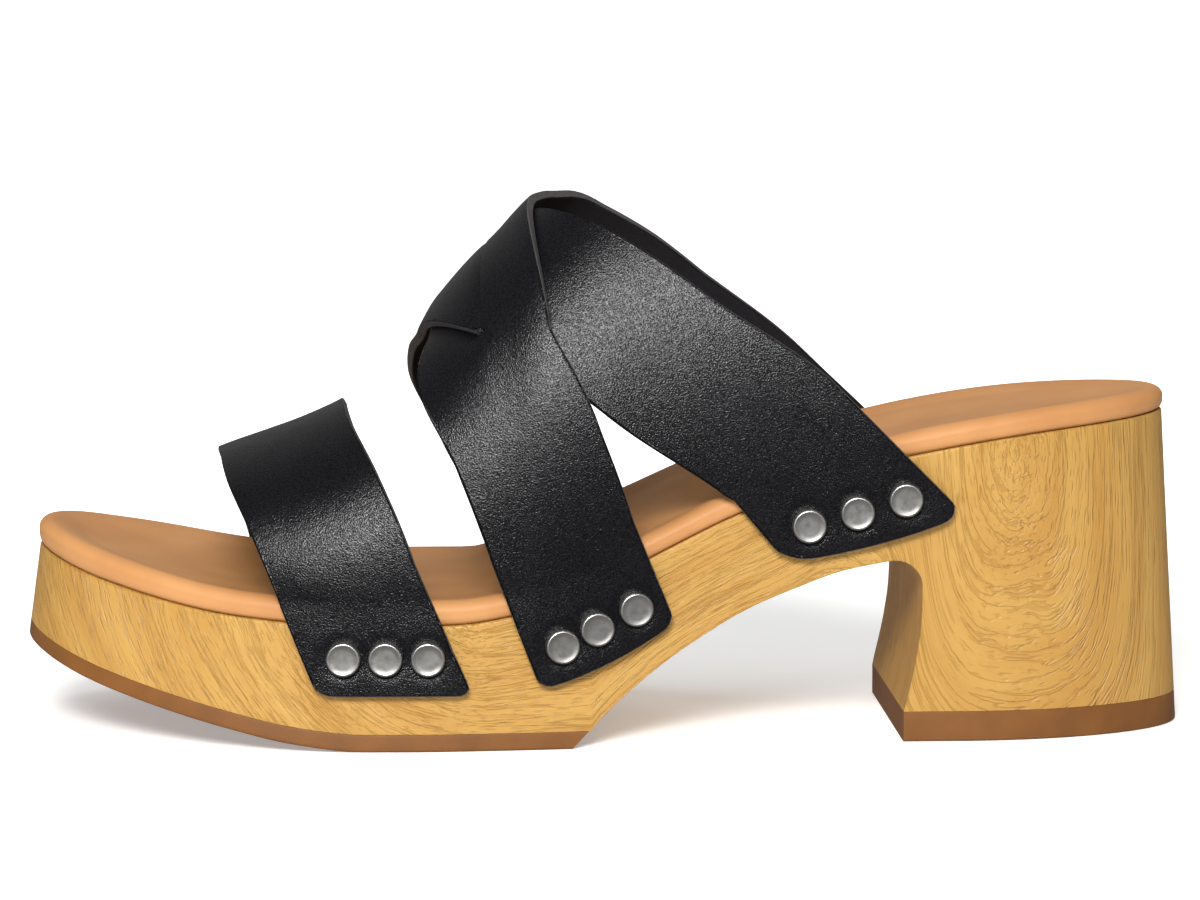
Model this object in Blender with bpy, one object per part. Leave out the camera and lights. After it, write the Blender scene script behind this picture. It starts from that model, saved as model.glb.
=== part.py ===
"""Platform sandal for the left foot: a backless block-heel mule with a toe strap and crossed instep straps.

Sizes are in millimetres and become metres when a mesh is made. +X runs from toe to heel, -Y is the outer
side of the foot and +Z is up. A station is a place along X, and a height is measured from the floor.
"""
import math

import bmesh
import bpy
import numpy as np
from mathutils import Vector


def table(columns, *rows):
    """A short table, as one array for each named column."""
    return dict(zip(columns.split(), np.array(rows, float).T))


MM = 0.001
OUTER, INNER = -1, 1  # the two sides of the foot, as signs of Y
GAP = 0.3  # between pieces that meet

# Side view of the sole
OUTSOLE_THICKNESS = 3.3
HEEL_TIP_THICKNESS = 6.0
OUTSOLE_END = -6.0  # rear end of the forefoot tread on the floor
OUTSOLE_END_SLOPE = 3.5  # how far that end leans back
BREAST_FILLET = 5.8
BREAST_SKEW = -0.046  # the heel's front face and the arch run aslant, further forward on the inner side
RISE_SKEW = -0.11  # so does the rise of the footbed between forefoot and heel
RISE_SPAN = (-32.0, -8.0, 30.0, 62.0)  # stations where that slant begins, is full, and ends
SKEW_ORIGIN = -30.0  # the side view is measured at this Y
SKEW_PASSES = 6
TOP_LINE = table(
    "station height",
    (-119, 37.2), (-102, 32.5), (-73, 27.1), (-47, 25.5), (-30, 25.7), (-18, 27.4), (-3, 32.3),
    (12, 39.8), (26.5, 46.8), (45, 54.0), (65, 59.6), (90, 63.7), (118, 66.3),
)
GROUND_LINE = table(
    "station height",
    (-124, 18.6), (-108, 12.9), (-92, 8.5), (-76, 4.5), (-62, 1.5), (-48, 0.0), (-20, 0.0),
)
ARCH_LINE = table(
    "station height",
    (-2.2, 3.6), (0, 6.2), (10, 15.0), (20, 22.1), (30.5, 28.2), (41, 32.6), (50, 35.8), (60, 37.8),
)
BREAST_LINE = table("height station", (6.3, 62.5), (18, 65.0), (25, 65.9), (32, 66.2))

# Plan of the sole: half widths at the wood's top edge, and how much wider the wall is on the floor
OUTLINE = table(
    "station outer inner flare",
    (-95, 40.0, 43.0, 3.0), (-60, 40.0, 43.5, 1.7), (-40, 40.0, 44.0, 1.5), (-15, 38.0, 40.5, 1.2),
    (15, 33.5, 34.0, 0.4), (45, 31.0, 31.0, -0.6), (75, 30.5, 30.5, -1.5),
)
TOE_END = {"top": -118.9, "floor": -124.0}
HEEL_END = {"top": 118.2, "floor": 122.2}
TOE_ROUND = {OUTER: 70.0, INNER: 46.0}  # length of the toe's rounding on each side
HEEL_ROUND = 47.0
TOE_APEX = 6.0  # the toe's tip lies towards the big toe
OUTLINE_STEPS = 36  # along each side

# Blanks reach past the sole on every side
BLANK_LEVELS = (-8.0, 95.0)
BLANK_SIDE = 70.0
BLANK_END = 130.0
TOP_STEPS = 52
TREAD_START = -46.0
TREAD_STEPS = 15
ARCH_STEPS = 16
BREAST_STEPS = 5
FILLET_STEPS = 5

# Padded insole with a rolled rim: inset from the outline and height above the wood
INSOLE_RIM = 5.0
INSOLE_SECTION = table(
    "inset height",
    (0.9, 0.4), (-0.2, 1.4), (-0.2, 2.9), (0.7, 4.3), (2.6, 5.0), (5.2, 4.8), (10.0, 3.9),
)
INSOLE_DISH = 3.0  # height of the middle above the wood
TOE_SWELL = 0.2  # the rim is thicker by this share at the toe
TOE_SWELL_SPAN = (60.0, 118.0)  # ahead of the middle
DISH_FADE = 0.25  # share of the length at each end in which the dish fades out
DISH_POWER = 1.5  # more makes a narrower dish
TOP_CROSSINGS = 4
BOTTOM_CROSSINGS = 2

# The last, as the inside of the straps: crown height at each station
CROWN_LINE = table(
    "station height",
    (-100, 47), (-80, 55), (-55, 65), (-40, 77), (-25, 94), (-18, 101), (-10, 110), (5, 119), (30, 126),
    (60, 132),
)
CROWN_SHIFT = 2.0  # the crown lies towards the inner side
FULLNESS = 2.3  # 2 is an ellipse, and more is a squarer section
LEG_SCALE = 60.0  # length of wall that counts as one radian below the insole's edge
WALL_GAP = 0.35
RIM_CLEARANCE = 0.3
RIM_RISE = (0.5, 0.8)  # shares of the wall's height where that clearance begins and is full

# Straps: width, the centre line as stations round the last (0 at the outer edge and 180 at the inner), and
# each cut end: its front and rear corners as station and height, how far it bows down, and its three studs
LEATHER = 2.0
CORNER_RADIUS = 4.5
CORNER_TURNS = (90, 60, 30, 0)
MID_COLUMNS = (-0.45, 0.35)  # shares of the half width
STUDS_EVEN = (0.255, 0.51, 0.80)  # along an end cut square
STUDS_SLANT = (0.17, 0.44, 0.71)  # along an end cut aslant
TOE_STRAP = {
    "width": 28.5,
    "path": table(
        "around station",
        (0, -50), (30, -57.5), (60, -63.5), (90, -66.5), (120, -68.5), (150, -67), (180, -63),
    ),
    OUTER: {"front": (-57.2, 11.6), "rear": (-25.8, 11.6), "bow": 0.0, "studs": STUDS_SLANT, "inset": 7.8},
    INNER: {"front": (-72.0, 13.0), "rear": (-40.5, 11.8), "bow": 0.0, "studs": STUDS_SLANT, "inset": 7.8},
}
OVER_STRAP = {
    "width": 30.0,
    "path": table(
        "around station",
        (0, -6), (20, -14.5), (50, -23.5), (90, -22), (125, -11), (155, 11), (180, 39),
    ),
    OUTER: {"front": (-12.2, 12.6), "rear": (15.2, 26.0), "bow": 1.5, "studs": STUDS_EVEN, "inset": 6.2},
    INNER: {"front": (37.9, 37.8), "rear": (73.5, 47.6), "bow": 1.5, "studs": STUDS_SLANT, "inset": 6.2},
}
THROUGH_STRAP = {
    "width": 32.0,
    "path": table(
        "around station",
        (0, 42), (25, 11), (55, -13.5), (90, -26), (110, -28.5), (130, -27.5), (160, -20), (180, -10),
    ),
    OUTER: {"front": (37.9, 37.8), "rear": (74.5, 47.6), "bow": 1.5, "studs": STUDS_SLANT, "inset": 6.2},
    INNER: {"front": (-17.1, 13.6), "rear": (9.2, 27.4), "bow": 1.5, "studs": STUDS_EVEN, "inset": 6.2},
}
SLIT_PLACE = 0.0  # across the over strap, from its middle
SLIT_WIDTH = 0.6
SLIT_LIFT = 1.4  # one strap passes the other through the slit at this height
SLIT_REACH = (10.0, 18.0)  # the lips are fully apart, and together again, at these distances
SLIT_PASSAGE = 3.0  # half of the stretch in which the through strap climbs
FRONT_LAP = (15.0, 26.0)  # the through strap comes down again between these distances
OVER_ROWS = 26
LEG_ROWS = 4
LEG_START = 4.0  # degrees round the last where the legs begin
GEODESIC_STEPS = 8

# Studs: three on each strap end
STUD_DIAMETER = 7.0
STUD_HEIGHT = 1.2
STUD_BEVEL = 0.4
STUD_SEGMENTS = 16

COLOURS = {
    "wood": (0.62, 0.36, 0.13),
    "rubber": (0.25, 0.11, 0.04),
    "insole": (0.60, 0.33, 0.17),
    "leather": (0.012, 0.011, 0.012),
    "pewter": (0.30, 0.30, 0.31),
}


def smooth(xs, ys, x):
    """A smooth curve through the rows of a table that never overshoots them."""
    x = np.asarray(x, float)
    runs = np.diff(xs)
    secants = np.diff(ys) / runs
    slopes = np.concatenate(([secants[0]], np.zeros(len(xs) - 2), [secants[-1]]))
    before, after = secants[:-1], secants[1:]
    same = before * after > 0
    slopes[1:-1][same] = 2 * before[same] * after[same] / (before[same] + after[same])
    row = np.clip(np.searchsorted(xs, x) - 1, 0, len(runs) - 1)
    t = np.clip((x - xs[row]) / runs[row], 0, 1)
    rise = ys[row] * (1 + 2 * t) * (1 - t) ** 2 + ys[row + 1] * t * t * (3 - 2 * t)
    bend = runs[row] * (slopes[row] * t * (1 - t) ** 2 - slopes[row + 1] * t * t * (1 - t))
    beyond = np.minimum(x - xs[0], 0) * slopes[0] + np.maximum(x - xs[-1], 0) * slopes[-1]
    return rise + bend + beyond


def ease(value, start, end):
    """0 before start and 1 after end, with a soft step between them."""
    t = np.clip((value - start) / (end - start), 0, 1)
    return t * t * (3 - 2 * t)


def rise_slant(station):
    """How far the footbed's side view shifts along the foot for each millimetre across it."""
    begin, full, fade, end = RISE_SPAN
    return RISE_SKEW * ease(station, begin, full) * (1 - ease(station, fade, end))


def top_height(station, y):
    """Height of the wood's top face."""
    place = station
    for _ in range(SKEW_PASSES):
        place = station - rise_slant(place) * (y - SKEW_ORIGIN)
    return smooth(TOP_LINE["station"], TOP_LINE["height"], place)


def ground_height(station):
    return smooth(GROUND_LINE["station"], GROUND_LINE["height"], station)


def rounding(distance, length):
    """An elliptical end: 0 at its tip, and 1 from its length on."""
    return np.sqrt(1 - (1 - np.clip(distance / length, 0, 1)) ** 2)


def edge(station, side, level):
    """Y of the sole's outline on one side, at the wood's top edge or on the floor."""
    column = OUTLINE["outer" if side == OUTER else "inner"]
    width = smooth(OUTLINE["station"], column, station)
    if level == "floor":
        width = width + smooth(OUTLINE["station"], OUTLINE["flare"], station)
    toe = rounding(station - TOE_END[level], TOE_ROUND[side])
    heel = rounding(HEEL_END[level] - station, HEEL_ROUND)
    return (TOE_APEX + (side * width - TOE_APEX) * toe) * heel


def wall(station, height, side):
    """Y of the sole's side wall."""
    top = edge(station, side, "top")
    share = height / top_height(station, top)
    return top * share + edge(station, side, "floor") * (1 - share)


def outline_side(side, level):
    """Stations and Ys along one side from toe tip to heel, close together at both ends."""
    share = (1 - np.cos(np.linspace(0, math.pi, OUTLINE_STEPS + 1))) / 2
    station = TOE_END[level] + (HEEL_END[level] - TOE_END[level]) * share
    return np.stack([station, edge(station, side, level)], axis=1)


def outline_loop(level):
    """The closed outline: toe to heel along the outer side and back along the inner side."""
    there = outline_side(OUTER, level)
    back = outline_side(INNER, level)[::-1]
    return np.concatenate([there, back[1:-1]])


def new_object(name, bm, material):
    """A named object under the sandal's empty, made from a bmesh in millimetres."""
    bmesh.ops.scale(bm, vec=(MM, MM, MM), verts=bm.verts)
    mesh = bpy.data.meshes.new(name)
    bm.to_mesh(mesh)
    bm.free()
    if material:
        mesh.materials.append(bpy.data.materials[material])
    return place_object(name, mesh)


def place_object(name, mesh):
    thing = bpy.data.objects.new(name, mesh)
    bpy.context.scene.collection.objects.link(thing)
    thing.parent = bpy.data.objects["sandal"]
    return thing


def solid_object(name, bm, material):
    """A closed body, with its faces turned outwards."""
    bmesh.ops.recalc_face_normals(bm, faces=bm.faces)
    return new_object(name, bm, material)


def helper(name, bm):
    """A blank or a cutter, which shapes another piece and isn't one itself."""
    thing = solid_object(name, bm, None)
    hide(thing)
    return thing


def hide(thing):
    thing.hide_render = True
    thing.display_type = "WIRE"


def combine(thing, other, operation):
    boolean = thing.modifiers.new(operation.lower(), "BOOLEAN")
    boolean.operation = operation
    boolean.solver = "EXACT"
    boolean.object = other


def make_material(name, roughness, metallic=0.0):
    material = bpy.data.materials.new(name)
    material.use_nodes = True
    shader = material.node_tree.nodes["Principled BSDF"]
    shader.inputs["Base Color"].default_value = (*COLOURS[name], 1.0)
    shader.inputs["Roughness"].default_value = roughness
    shader.inputs["Metallic"].default_value = metallic


def make_plan_blank():
    """The sole's plan as a tall block with drafted walls, higher and lower than the sole."""
    top = outline_loop("top")
    floor = outline_loop("floor")
    height = top_height(top[:, 0], top[:, 1])[:, None]
    bm = bmesh.new()
    rings = []
    for level in BLANK_LEVELS:
        ring = floor + (top - floor) * level / height
        verts = [bm.verts.new((x, y, level)) for x, y in ring]
        bm.faces.new(verts)
        rings.append([bm.edges.get((a, b)) for a, b in zip(verts, verts[1:] + verts[:1])])
    bmesh.ops.bridge_loops(bm, edges=rings[0] + rings[1])
    return helper("plan_blank", bm)


def make_from_side(name, material, profile, plan):
    """A piece of the sole: its side view drawn across the full width, kept inside the plan."""
    bm = bmesh.new()
    rims = []
    for y in (-BLANK_SIDE, BLANK_SIDE):
        rims.append([bm.verts.new((x + slant * (y - SKEW_ORIGIN), y, z)) for x, z, slant in profile])
        bm.faces.new(rims[-1])
    loops = [bm.edges.get((a, b)) for rim in rims for a, b in zip(rim, rim[1:] + rim[:1])]
    bmesh.ops.bridge_loops(bm, edges=loops)
    piece = solid_object(name, bm, material)
    combine(piece, plan, "INTERSECT")
    return piece


def line(stations, heights, slant):
    """Points of a side view, each with how far it shifts along the foot for a millimetre across it."""
    slants = np.broadcast_to(slant, np.shape(stations))
    return [(float(x), float(z), float(shift)) for x, z, shift in zip(stations, heights, slants)]


def arch_and_breast():
    """The underside from the heel tip's front corner up the breast and down the arch to the tread."""
    heights = np.linspace(BREAST_LINE["height"][0], BREAST_LINE["height"][-1], BREAST_STEPS + 1)
    breast = line(smooth(BREAST_LINE["height"], BREAST_LINE["station"], heights), heights, BREAST_SKEW)
    turn = np.linspace(0, math.pi / 2, FILLET_STEPS + 1)[1:-1]
    centre = (BREAST_LINE["station"][-1] - BREAST_FILLET, BREAST_LINE["height"][-1])
    fillet = line(
        centre[0] + BREAST_FILLET * np.cos(turn), centre[1] + BREAST_FILLET * np.sin(turn), BREAST_SKEW
    )
    stations = np.linspace(ARCH_LINE["station"][-1], ARCH_LINE["station"][0], ARCH_STEPS + 1)
    arch = line(stations, smooth(ARCH_LINE["station"], ARCH_LINE["height"], stations), BREAST_SKEW)
    return breast + fillet + arch


def tread_stations():
    """Stations along the rocker of the forefoot, from its flat to past the toe."""
    return np.linspace(TREAD_START, -BLANK_END, TREAD_STEPS + 1)


def make_platform(plan):
    stations = np.linspace(-BLANK_END, BLANK_END, TOP_STEPS + 1)
    top = line(stations, top_height(stations, SKEW_ORIGIN), rise_slant(stations))
    bottom = HEEL_TIP_THICKNESS + GAP
    tread = tread_stations()
    under = line(tread, ground_height(tread) + OUTSOLE_THICKNESS + GAP, 0)
    profile = top + [(BLANK_END, bottom, 0)] + arch_and_breast() + under
    make_from_side("platform", "wood", profile, plan)


def make_outsole(plan):
    tread = tread_stations()
    ground = ground_height(tread)
    below = line(tread, ground, 0)
    above = line(tread[::-1], ground[::-1] + OUTSOLE_THICKNESS, 0)
    rear = [
        (OUTSOLE_END + OUTSOLE_END_SLOPE, OUTSOLE_THICKNESS, BREAST_SKEW),
        (OUTSOLE_END, 0.0, BREAST_SKEW),
    ]
    make_from_side("forefoot_outsole", "rubber", below + above + rear, plan)


def make_heel_tip(plan):
    front = BREAST_LINE["station"][0]
    profile = [
        (front, 0.0, BREAST_SKEW),
        (BLANK_END, 0.0, 0),
        (BLANK_END, HEEL_TIP_THICKNESS, 0),
        (front, HEEL_TIP_THICKNESS, BREAST_SKEW),
    ]
    make_from_side("heel_tip", "rubber", profile, plan)


def inset_loop(loop, distance):
    """The outline moved inwards by a distance."""
    along = np.roll(loop, -1, axis=0) - np.roll(loop, 1, axis=0)
    along /= np.linalg.norm(along, axis=1)[:, None]
    inward = np.stack([-along[:, 1], along[:, 0]], axis=1)
    return loop + inward * distance


def make_insole():
    """A padded sheet: rings for its rolled edge, then rows across for its dished top and flat bottom."""
    outline = outline_loop("top")
    count = len(outline)
    half = count // 2
    bm = bmesh.new()
    rings = []
    for inset, height in zip(INSOLE_SECTION["inset"], INSOLE_SECTION["height"]):
        ring = inset_loop(outline, inset)
        swell = 1 + TOE_SWELL * ease(-ring[:, 0], *TOE_SWELL_SPAN)
        heights = top_height(ring[:, 0], ring[:, 1]) + height * swell
        rings.append([bm.verts.new((x, y, z)) for (x, y), z in zip(ring, heights)])
    for low, high in zip(rings, rings[1:]):
        for i in range(count):
            j = (i + 1) % count
            bm.faces.new((low[i], low[j], high[j], high[i]))
    fill_across(bm, rings[0], half, BOTTOM_CROSSINGS, 0.0)
    rim_drop = INSOLE_SECTION["height"][-1] - INSOLE_DISH
    fill_across(bm, rings[-1], half, TOP_CROSSINGS, rim_drop)
    solid_object("insole", bm, "insole")


def fill_across(bm, ring, half, crossings, drop):
    """Close a ring with rows from its outer to its inner side, sunk by drop along the middle."""
    rows = [[ring[0]]]
    for i in range(1, half):
        start, end = ring[i], ring[-i]
        fade = ease(min(i, half - i) / half, 0.0, DISH_FADE)
        row = [start]
        for k in range(1, crossings + 1):
            t = k / (crossings + 1)
            place = start.co.lerp(end.co, t)
            place.z = top_height(place.x, place.y) + start.co.z - top_height(start.co.x, start.co.y)
            place.z -= drop * fade * math.sin(math.pi * t) ** DISH_POWER
            row.append(bm.verts.new(place))
        rows.append(row + [end])
    rows.append([ring[half]])
    for row, after in zip(rows, rows[1:]):
        for k in range(crossings + 1):
            corners = [row[min(k, len(row) - 1)], row[min(k + 1, len(row) - 1)]]
            corners += [after[min(k + 1, len(after) - 1)], after[min(k, len(after) - 1)]]
            bm.faces.new(list(dict.fromkeys(corners)))


def insole_edge(station, side):
    """Height of the insole's edge, where the straps leave the sole's wall."""
    return top_height(station, edge(station, side, "top")) + INSOLE_RIM


def strap_wall(station, height, side):
    """Y of a strap's inner face where it lies on the sole, a little further out at the insole's rim."""
    rise = np.clip(height / insole_edge(station, side), 0, 1)
    return wall(station, height, side) + side * (WALL_GAP + RIM_CLEARANCE * ease(rise, *RIM_RISE))


def crown_height(station):
    return smooth(CROWN_LINE["station"], CROWN_LINE["height"], station)


def last_point(station, around):
    """A point of the last, round its section from the outer wall (below 0) to the inner (above 180)."""
    outer = strap_wall(station, insole_edge(station, OUTER), OUTER)
    inner = strap_wall(station, insole_edge(station, INNER), INNER)
    middle = (outer + inner) / 2 + CROWN_SHIFT
    turn = np.clip(around, 0, math.pi)
    on_outer_half = turn < math.pi / 2
    edge_height = np.where(on_outer_half, insole_edge(station, OUTER), insole_edge(station, INNER))
    power = 2 / FULLNESS
    reach = np.abs(np.cos(turn)) ** power
    y = middle + np.where(on_outer_half, outer - middle, inner - middle) * reach
    z = edge_height + (crown_height(station) - edge_height) * np.sin(turn) ** power
    below = (turn - around) * np.where(around < 0, 1, -1) * LEG_SCALE
    z = np.where(below > 0, edge_height - below, z)
    on_outer = (around < 0) & (below > 0)
    on_inner = (around > math.pi) & (below > 0)
    y = np.where(on_outer, strap_wall(station, z, OUTER), y)
    y = np.where(on_inner, strap_wall(station, z, INNER), y)
    return np.stack([np.broadcast_to(station, y.shape), y, z], axis=-1)


def around_at(station, height, side):
    """The angle round the last at a height on one side."""
    edge_height = insole_edge(station, side)
    share = np.clip((height - edge_height) / (crown_height(station) - edge_height), 0, 1)
    angle = np.where(height < edge_height, (height - edge_height) / LEG_SCALE,
                     np.arcsin(share ** (FULLNESS / 2)))
    return angle if side == OUTER else math.pi - angle


def last_slopes(station, around):
    """How a point of the last moves along the foot and round it."""
    step = 0.05
    turn = 0.002
    along = (last_point(station + step, around) - last_point(station - step, around)) / (2 * step)
    across = (last_point(station, around + turn) - last_point(station, around - turn)) / (2 * turn)
    return along, across


def last_normal(station, around):
    along, across = last_slopes(station, around)
    normal = np.cross(along, across)
    return normal / np.linalg.norm(normal, axis=-1)[..., None]


def walk(station, around, direction, distance):
    """Walk over the last from points on it, in a direction in space, for a distance."""
    for _ in range(GEODESIC_STEPS):
        along, across = last_slopes(station, around)
        aa = np.sum(along * along, axis=-1)
        cc = np.sum(across * across, axis=-1)
        ac = np.sum(along * across, axis=-1)
        ad = np.sum(along * direction, axis=-1)
        cd = np.sum(across * direction, axis=-1)
        scale = aa * cc - ac * ac
        move = (ad * cc - cd * ac) / scale
        turn = (cd * aa - ad * ac) / scale
        speed = np.linalg.norm(along * move[..., None] + across * turn[..., None], axis=-1)
        station = station + move / speed * distance / GEODESIC_STEPS
        around = around + turn / speed * distance / GEODESIC_STEPS
    return station, around


def strap_columns(width, places=(0.0,)):
    """Places across a strap, close together at its rounded corners."""
    half = width / 2
    corner = [half - CORNER_RADIUS * (1 - math.sin(math.radians(a))) for a in CORNER_TURNS]
    middle = [half * share for share in MID_COLUMNS]
    return np.array(sorted({*corner, *(-c for c in corner), *middle, *places}))


def strap_grid(strap, columns):
    """Stations and angles of a strap's rows, from its outer end over the last to its inner end."""
    path = strap["path"]
    start = math.radians(LEG_START)
    centre = np.linspace(start, math.pi - start, OVER_ROWS)
    station = smooth(np.radians(path["around"]), path["station"], centre)
    points = last_point(station, centre)
    forward = np.gradient(points, axis=0)
    rearward = np.cross(forward, last_normal(station, centre))
    rearward *= np.sign(rearward[:, :1])
    rearward /= np.linalg.norm(rearward, axis=1)[:, None]
    over = [walk(station, centre, rearward, place) for place in columns]
    stations = np.stack([s for s, _ in over], axis=1)
    arounds = np.stack([a for _, a in over], axis=1)
    outer = leg_rows(strap, columns, stations[0], arounds[0], OUTER)
    inner = leg_rows(strap, columns, stations[-1], arounds[-1], INNER)
    stations = np.concatenate([outer[0][::-1], stations, inner[0]])
    arounds = np.concatenate([outer[1][::-1], arounds, inner[1]])
    return stations, arounds


def leg_rows(strap, columns, station, around, side):
    """Rows from where a strap leaves the last, straight down the wall to its cut end."""
    front, rear = np.array(strap[side]["front"]), np.array(strap[side]["rear"])
    half = strap["width"] / 2
    start = np.stack([station, last_point(station, around)[:, 2]], axis=1)
    share = ((columns + half) / strap["width"])[:, None]
    end = front + (rear - front) * share
    into = np.maximum(np.abs(columns) - (half - CORNER_RADIUS), 0)
    trim = CORNER_RADIUS - np.sqrt(np.maximum(CORNER_RADIUS ** 2 - into ** 2, 0))
    up = start - end
    up /= np.linalg.norm(up, axis=1)[:, None]
    bow = strap[side]["bow"] * 4 * share * (1 - share)
    end = end + up * (trim[:, None] - bow)
    steps = np.linspace(0, 1, LEG_ROWS + 1)[1:, None, None]
    rows = start + (end - start) * steps
    return rows[..., 0], around_at(rows[..., 0], rows[..., 1], side)


def offset_from(points, line_points, stations, line_stations):
    """Distance of points from a line on the last, above 0 behind it and below 0 in front of it."""
    apart = points[..., None, :] - line_points
    distance = np.linalg.norm(apart, axis=-1)
    nearest = np.argmin(distance, axis=-1)
    return np.min(distance, axis=-1) * np.sign(stations - line_stations[nearest])


def centre_line(strap, place):
    """A line along a strap at one place across it, with its stations."""
    stations, arounds = strap_grid(strap, np.array([place]))
    return last_point(stations[:, 0], arounds[:, 0]), stations[:, 0]


def strap_sheet(points, slot_column=None, slot_rows=()):
    """A sheet of leather through a grid of points, open in one column along some rows."""
    bm = bmesh.new()
    rows, count = points.shape[:2]
    verts = [[bm.verts.new(points[r, c]) for c in range(count)] for r in range(rows)]
    for r in range(rows - 1):
        for c in range(count - 1):
            if c != slot_column or r not in slot_rows:
                bm.faces.new((verts[r][c], verts[r][c + 1], verts[r + 1][c + 1], verts[r + 1][c]))
    return bm


def leather_object(name, bm):
    """A sheet with its faces turned away from the foot, thickened outwards."""
    bm.normal_update()
    middle = sum((face.calc_center_median() for face in bm.faces), Vector()) / len(bm.faces)
    facing = sum(face.normal.dot(face.calc_center_median() - middle) for face in bm.faces)
    if facing < 0:
        bmesh.ops.reverse_faces(bm, faces=bm.faces)
    thing = new_object(name, bm, "leather")
    thickness = thing.modifiers.new("leather", "SOLIDIFY")
    thickness.thickness = LEATHER * MM
    thickness.offset = 1.0
    return thing


def make_toe_strap():
    stations, arounds = strap_grid(TOE_STRAP, strap_columns(TOE_STRAP["width"]))
    leather_object("toe_strap", strap_sheet(last_point(stations, arounds)))


def make_cross_straps():
    """One strap has a lengthwise slit, and the other comes up through it and lies over its front half."""
    lips = (SLIT_PLACE - SLIT_WIDTH / 2, SLIT_PLACE + SLIT_WIDTH / 2)
    columns = strap_columns(OVER_STRAP["width"], lips)
    slot = int(np.argmin(np.abs(columns - lips[0])))
    stations, arounds = strap_grid(OVER_STRAP, columns)
    points = last_point(stations, arounds)
    normals = last_normal(stations, arounds)
    through_line, through_stations = centre_line(THROUGH_STRAP, 0.0)
    away = np.abs(offset_from(points, through_line, stations, through_stations))
    lift = SLIT_LIFT * (1 - ease(away, *SLIT_REACH))
    rear_half = slice(slot + 1, None)
    points[:, rear_half] += normals[:, rear_half] * lift[:, rear_half, None]
    slit_rows = [r for r in range(len(lift) - 1) if lift[r:r + 2, slot].min() > 0]
    over = leather_object("cross_straps", strap_sheet(points, slot, slit_rows))

    stations, arounds = strap_grid(THROUGH_STRAP, strap_columns(THROUGH_STRAP["width"]))
    points = last_point(stations, arounds)
    slit_line, slit_stations = centre_line(OVER_STRAP, SLIT_PLACE)
    ahead = -offset_from(points, slit_line, stations, slit_stations)
    lift = SLIT_LIFT * ease(ahead, -SLIT_PASSAGE, SLIT_PASSAGE) * (1 - ease(ahead, *FRONT_LAP))
    points += last_normal(stations, arounds) * lift[..., None]
    through = leather_object("through_strap", strap_sheet(points))
    hide(through)
    combine(over, through, "UNION")


def stud_mesh():
    """A flat stud head with a bevelled rim."""
    bm = bmesh.new()
    radius = STUD_DIAMETER / 2
    bmesh.ops.create_cone(
        bm, cap_ends=True, segments=STUD_SEGMENTS, radius1=radius, radius2=radius, depth=STUD_HEIGHT
    )
    rim = [edge for edge in bm.edges if all(vert.co.z > 0 for vert in edge.verts)]
    bmesh.ops.bevel(bm, geom=rim, offset=STUD_BEVEL, segments=1, affect="EDGES")
    bmesh.ops.translate(bm, vec=(0, 0, STUD_HEIGHT / 2), verts=bm.verts)
    bmesh.ops.scale(bm, vec=(MM, MM, MM), verts=bm.verts)
    mesh = bpy.data.meshes.new("stud")
    bm.to_mesh(mesh)
    bm.free()
    mesh.materials.append(bpy.data.materials["pewter"])
    return mesh


def make_studs():
    """Three studs along the cut end of every strap, square to its face."""
    mesh = stud_mesh()
    straps = {"toe": TOE_STRAP, "over": OVER_STRAP, "through": THROUGH_STRAP}
    for strap_name, strap in straps.items():
        for side, side_name in ((OUTER, "outer"), (INNER, "inner")):
            cut = strap[side]
            front, rear = np.array(cut["front"]), np.array(cut["rear"])
            along = (rear - front) / np.linalg.norm(rear - front)
            up = np.array([-along[1], along[0]])
            for number, place in enumerate(cut["studs"], 1):
                station, height = front + (rear - front) * place + up * cut["inset"]
                around = around_at(station, height, side)
                normal = last_normal(station, around)
                stud = place_object(f"stud_{strap_name}_{side_name}_{number}", mesh)
                stud.location = Vector(last_point(station, around) + normal * (LEATHER + GAP)) * MM
                stud.rotation_euler = Vector(normal).to_track_quat("Z", "Y").to_euler()


def centre_on_origin():
    """Stand the sandal on the floor with the middle of its box over the origin."""
    bpy.context.view_layer.update()
    corners = []
    for thing in bpy.context.scene.objects:
        if thing.type == "MESH" and not thing.hide_render:
            evaluated = thing.evaluated_get(bpy.context.evaluated_depsgraph_get())
            corners += [thing.matrix_world @ Vector(corner) for corner in evaluated.bound_box]
    middle = [(min(c[i] for c in corners) + max(c[i] for c in corners)) / 2 for i in (0, 1)]
    bpy.data.objects["sandal"].location = (-middle[0], -middle[1], -min(c.z for c in corners))


def main():
    for thing in list(bpy.data.objects):
        bpy.data.objects.remove(thing)
    sandal = bpy.data.objects.new("sandal", None)
    bpy.context.scene.collection.objects.link(sandal)
    make_material("wood", 0.45)
    make_material("rubber", 0.5)
    make_material("insole", 0.55)
    make_material("leather", 0.4)
    make_material("pewter", 0.35, 1.0)
    plan = make_plan_blank()
    make_platform(plan)
    make_outsole(plan)
    make_heel_tip(plan)
    make_insole()
    make_toe_strap()
    make_cross_straps()
    make_studs()
    centre_on_origin()


main()
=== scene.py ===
"""Looks of a left platform sandal: wood-look sole, padded insole, black straps and pewter studs.

Lengths are in millimetres and become metres when a mesh is made. +X runs from toe to heel, -Y is the outer
side of the foot and +Z is up. A station is a place along X, and a height is measured from the floor.
"""

import math
from functools import partial

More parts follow.
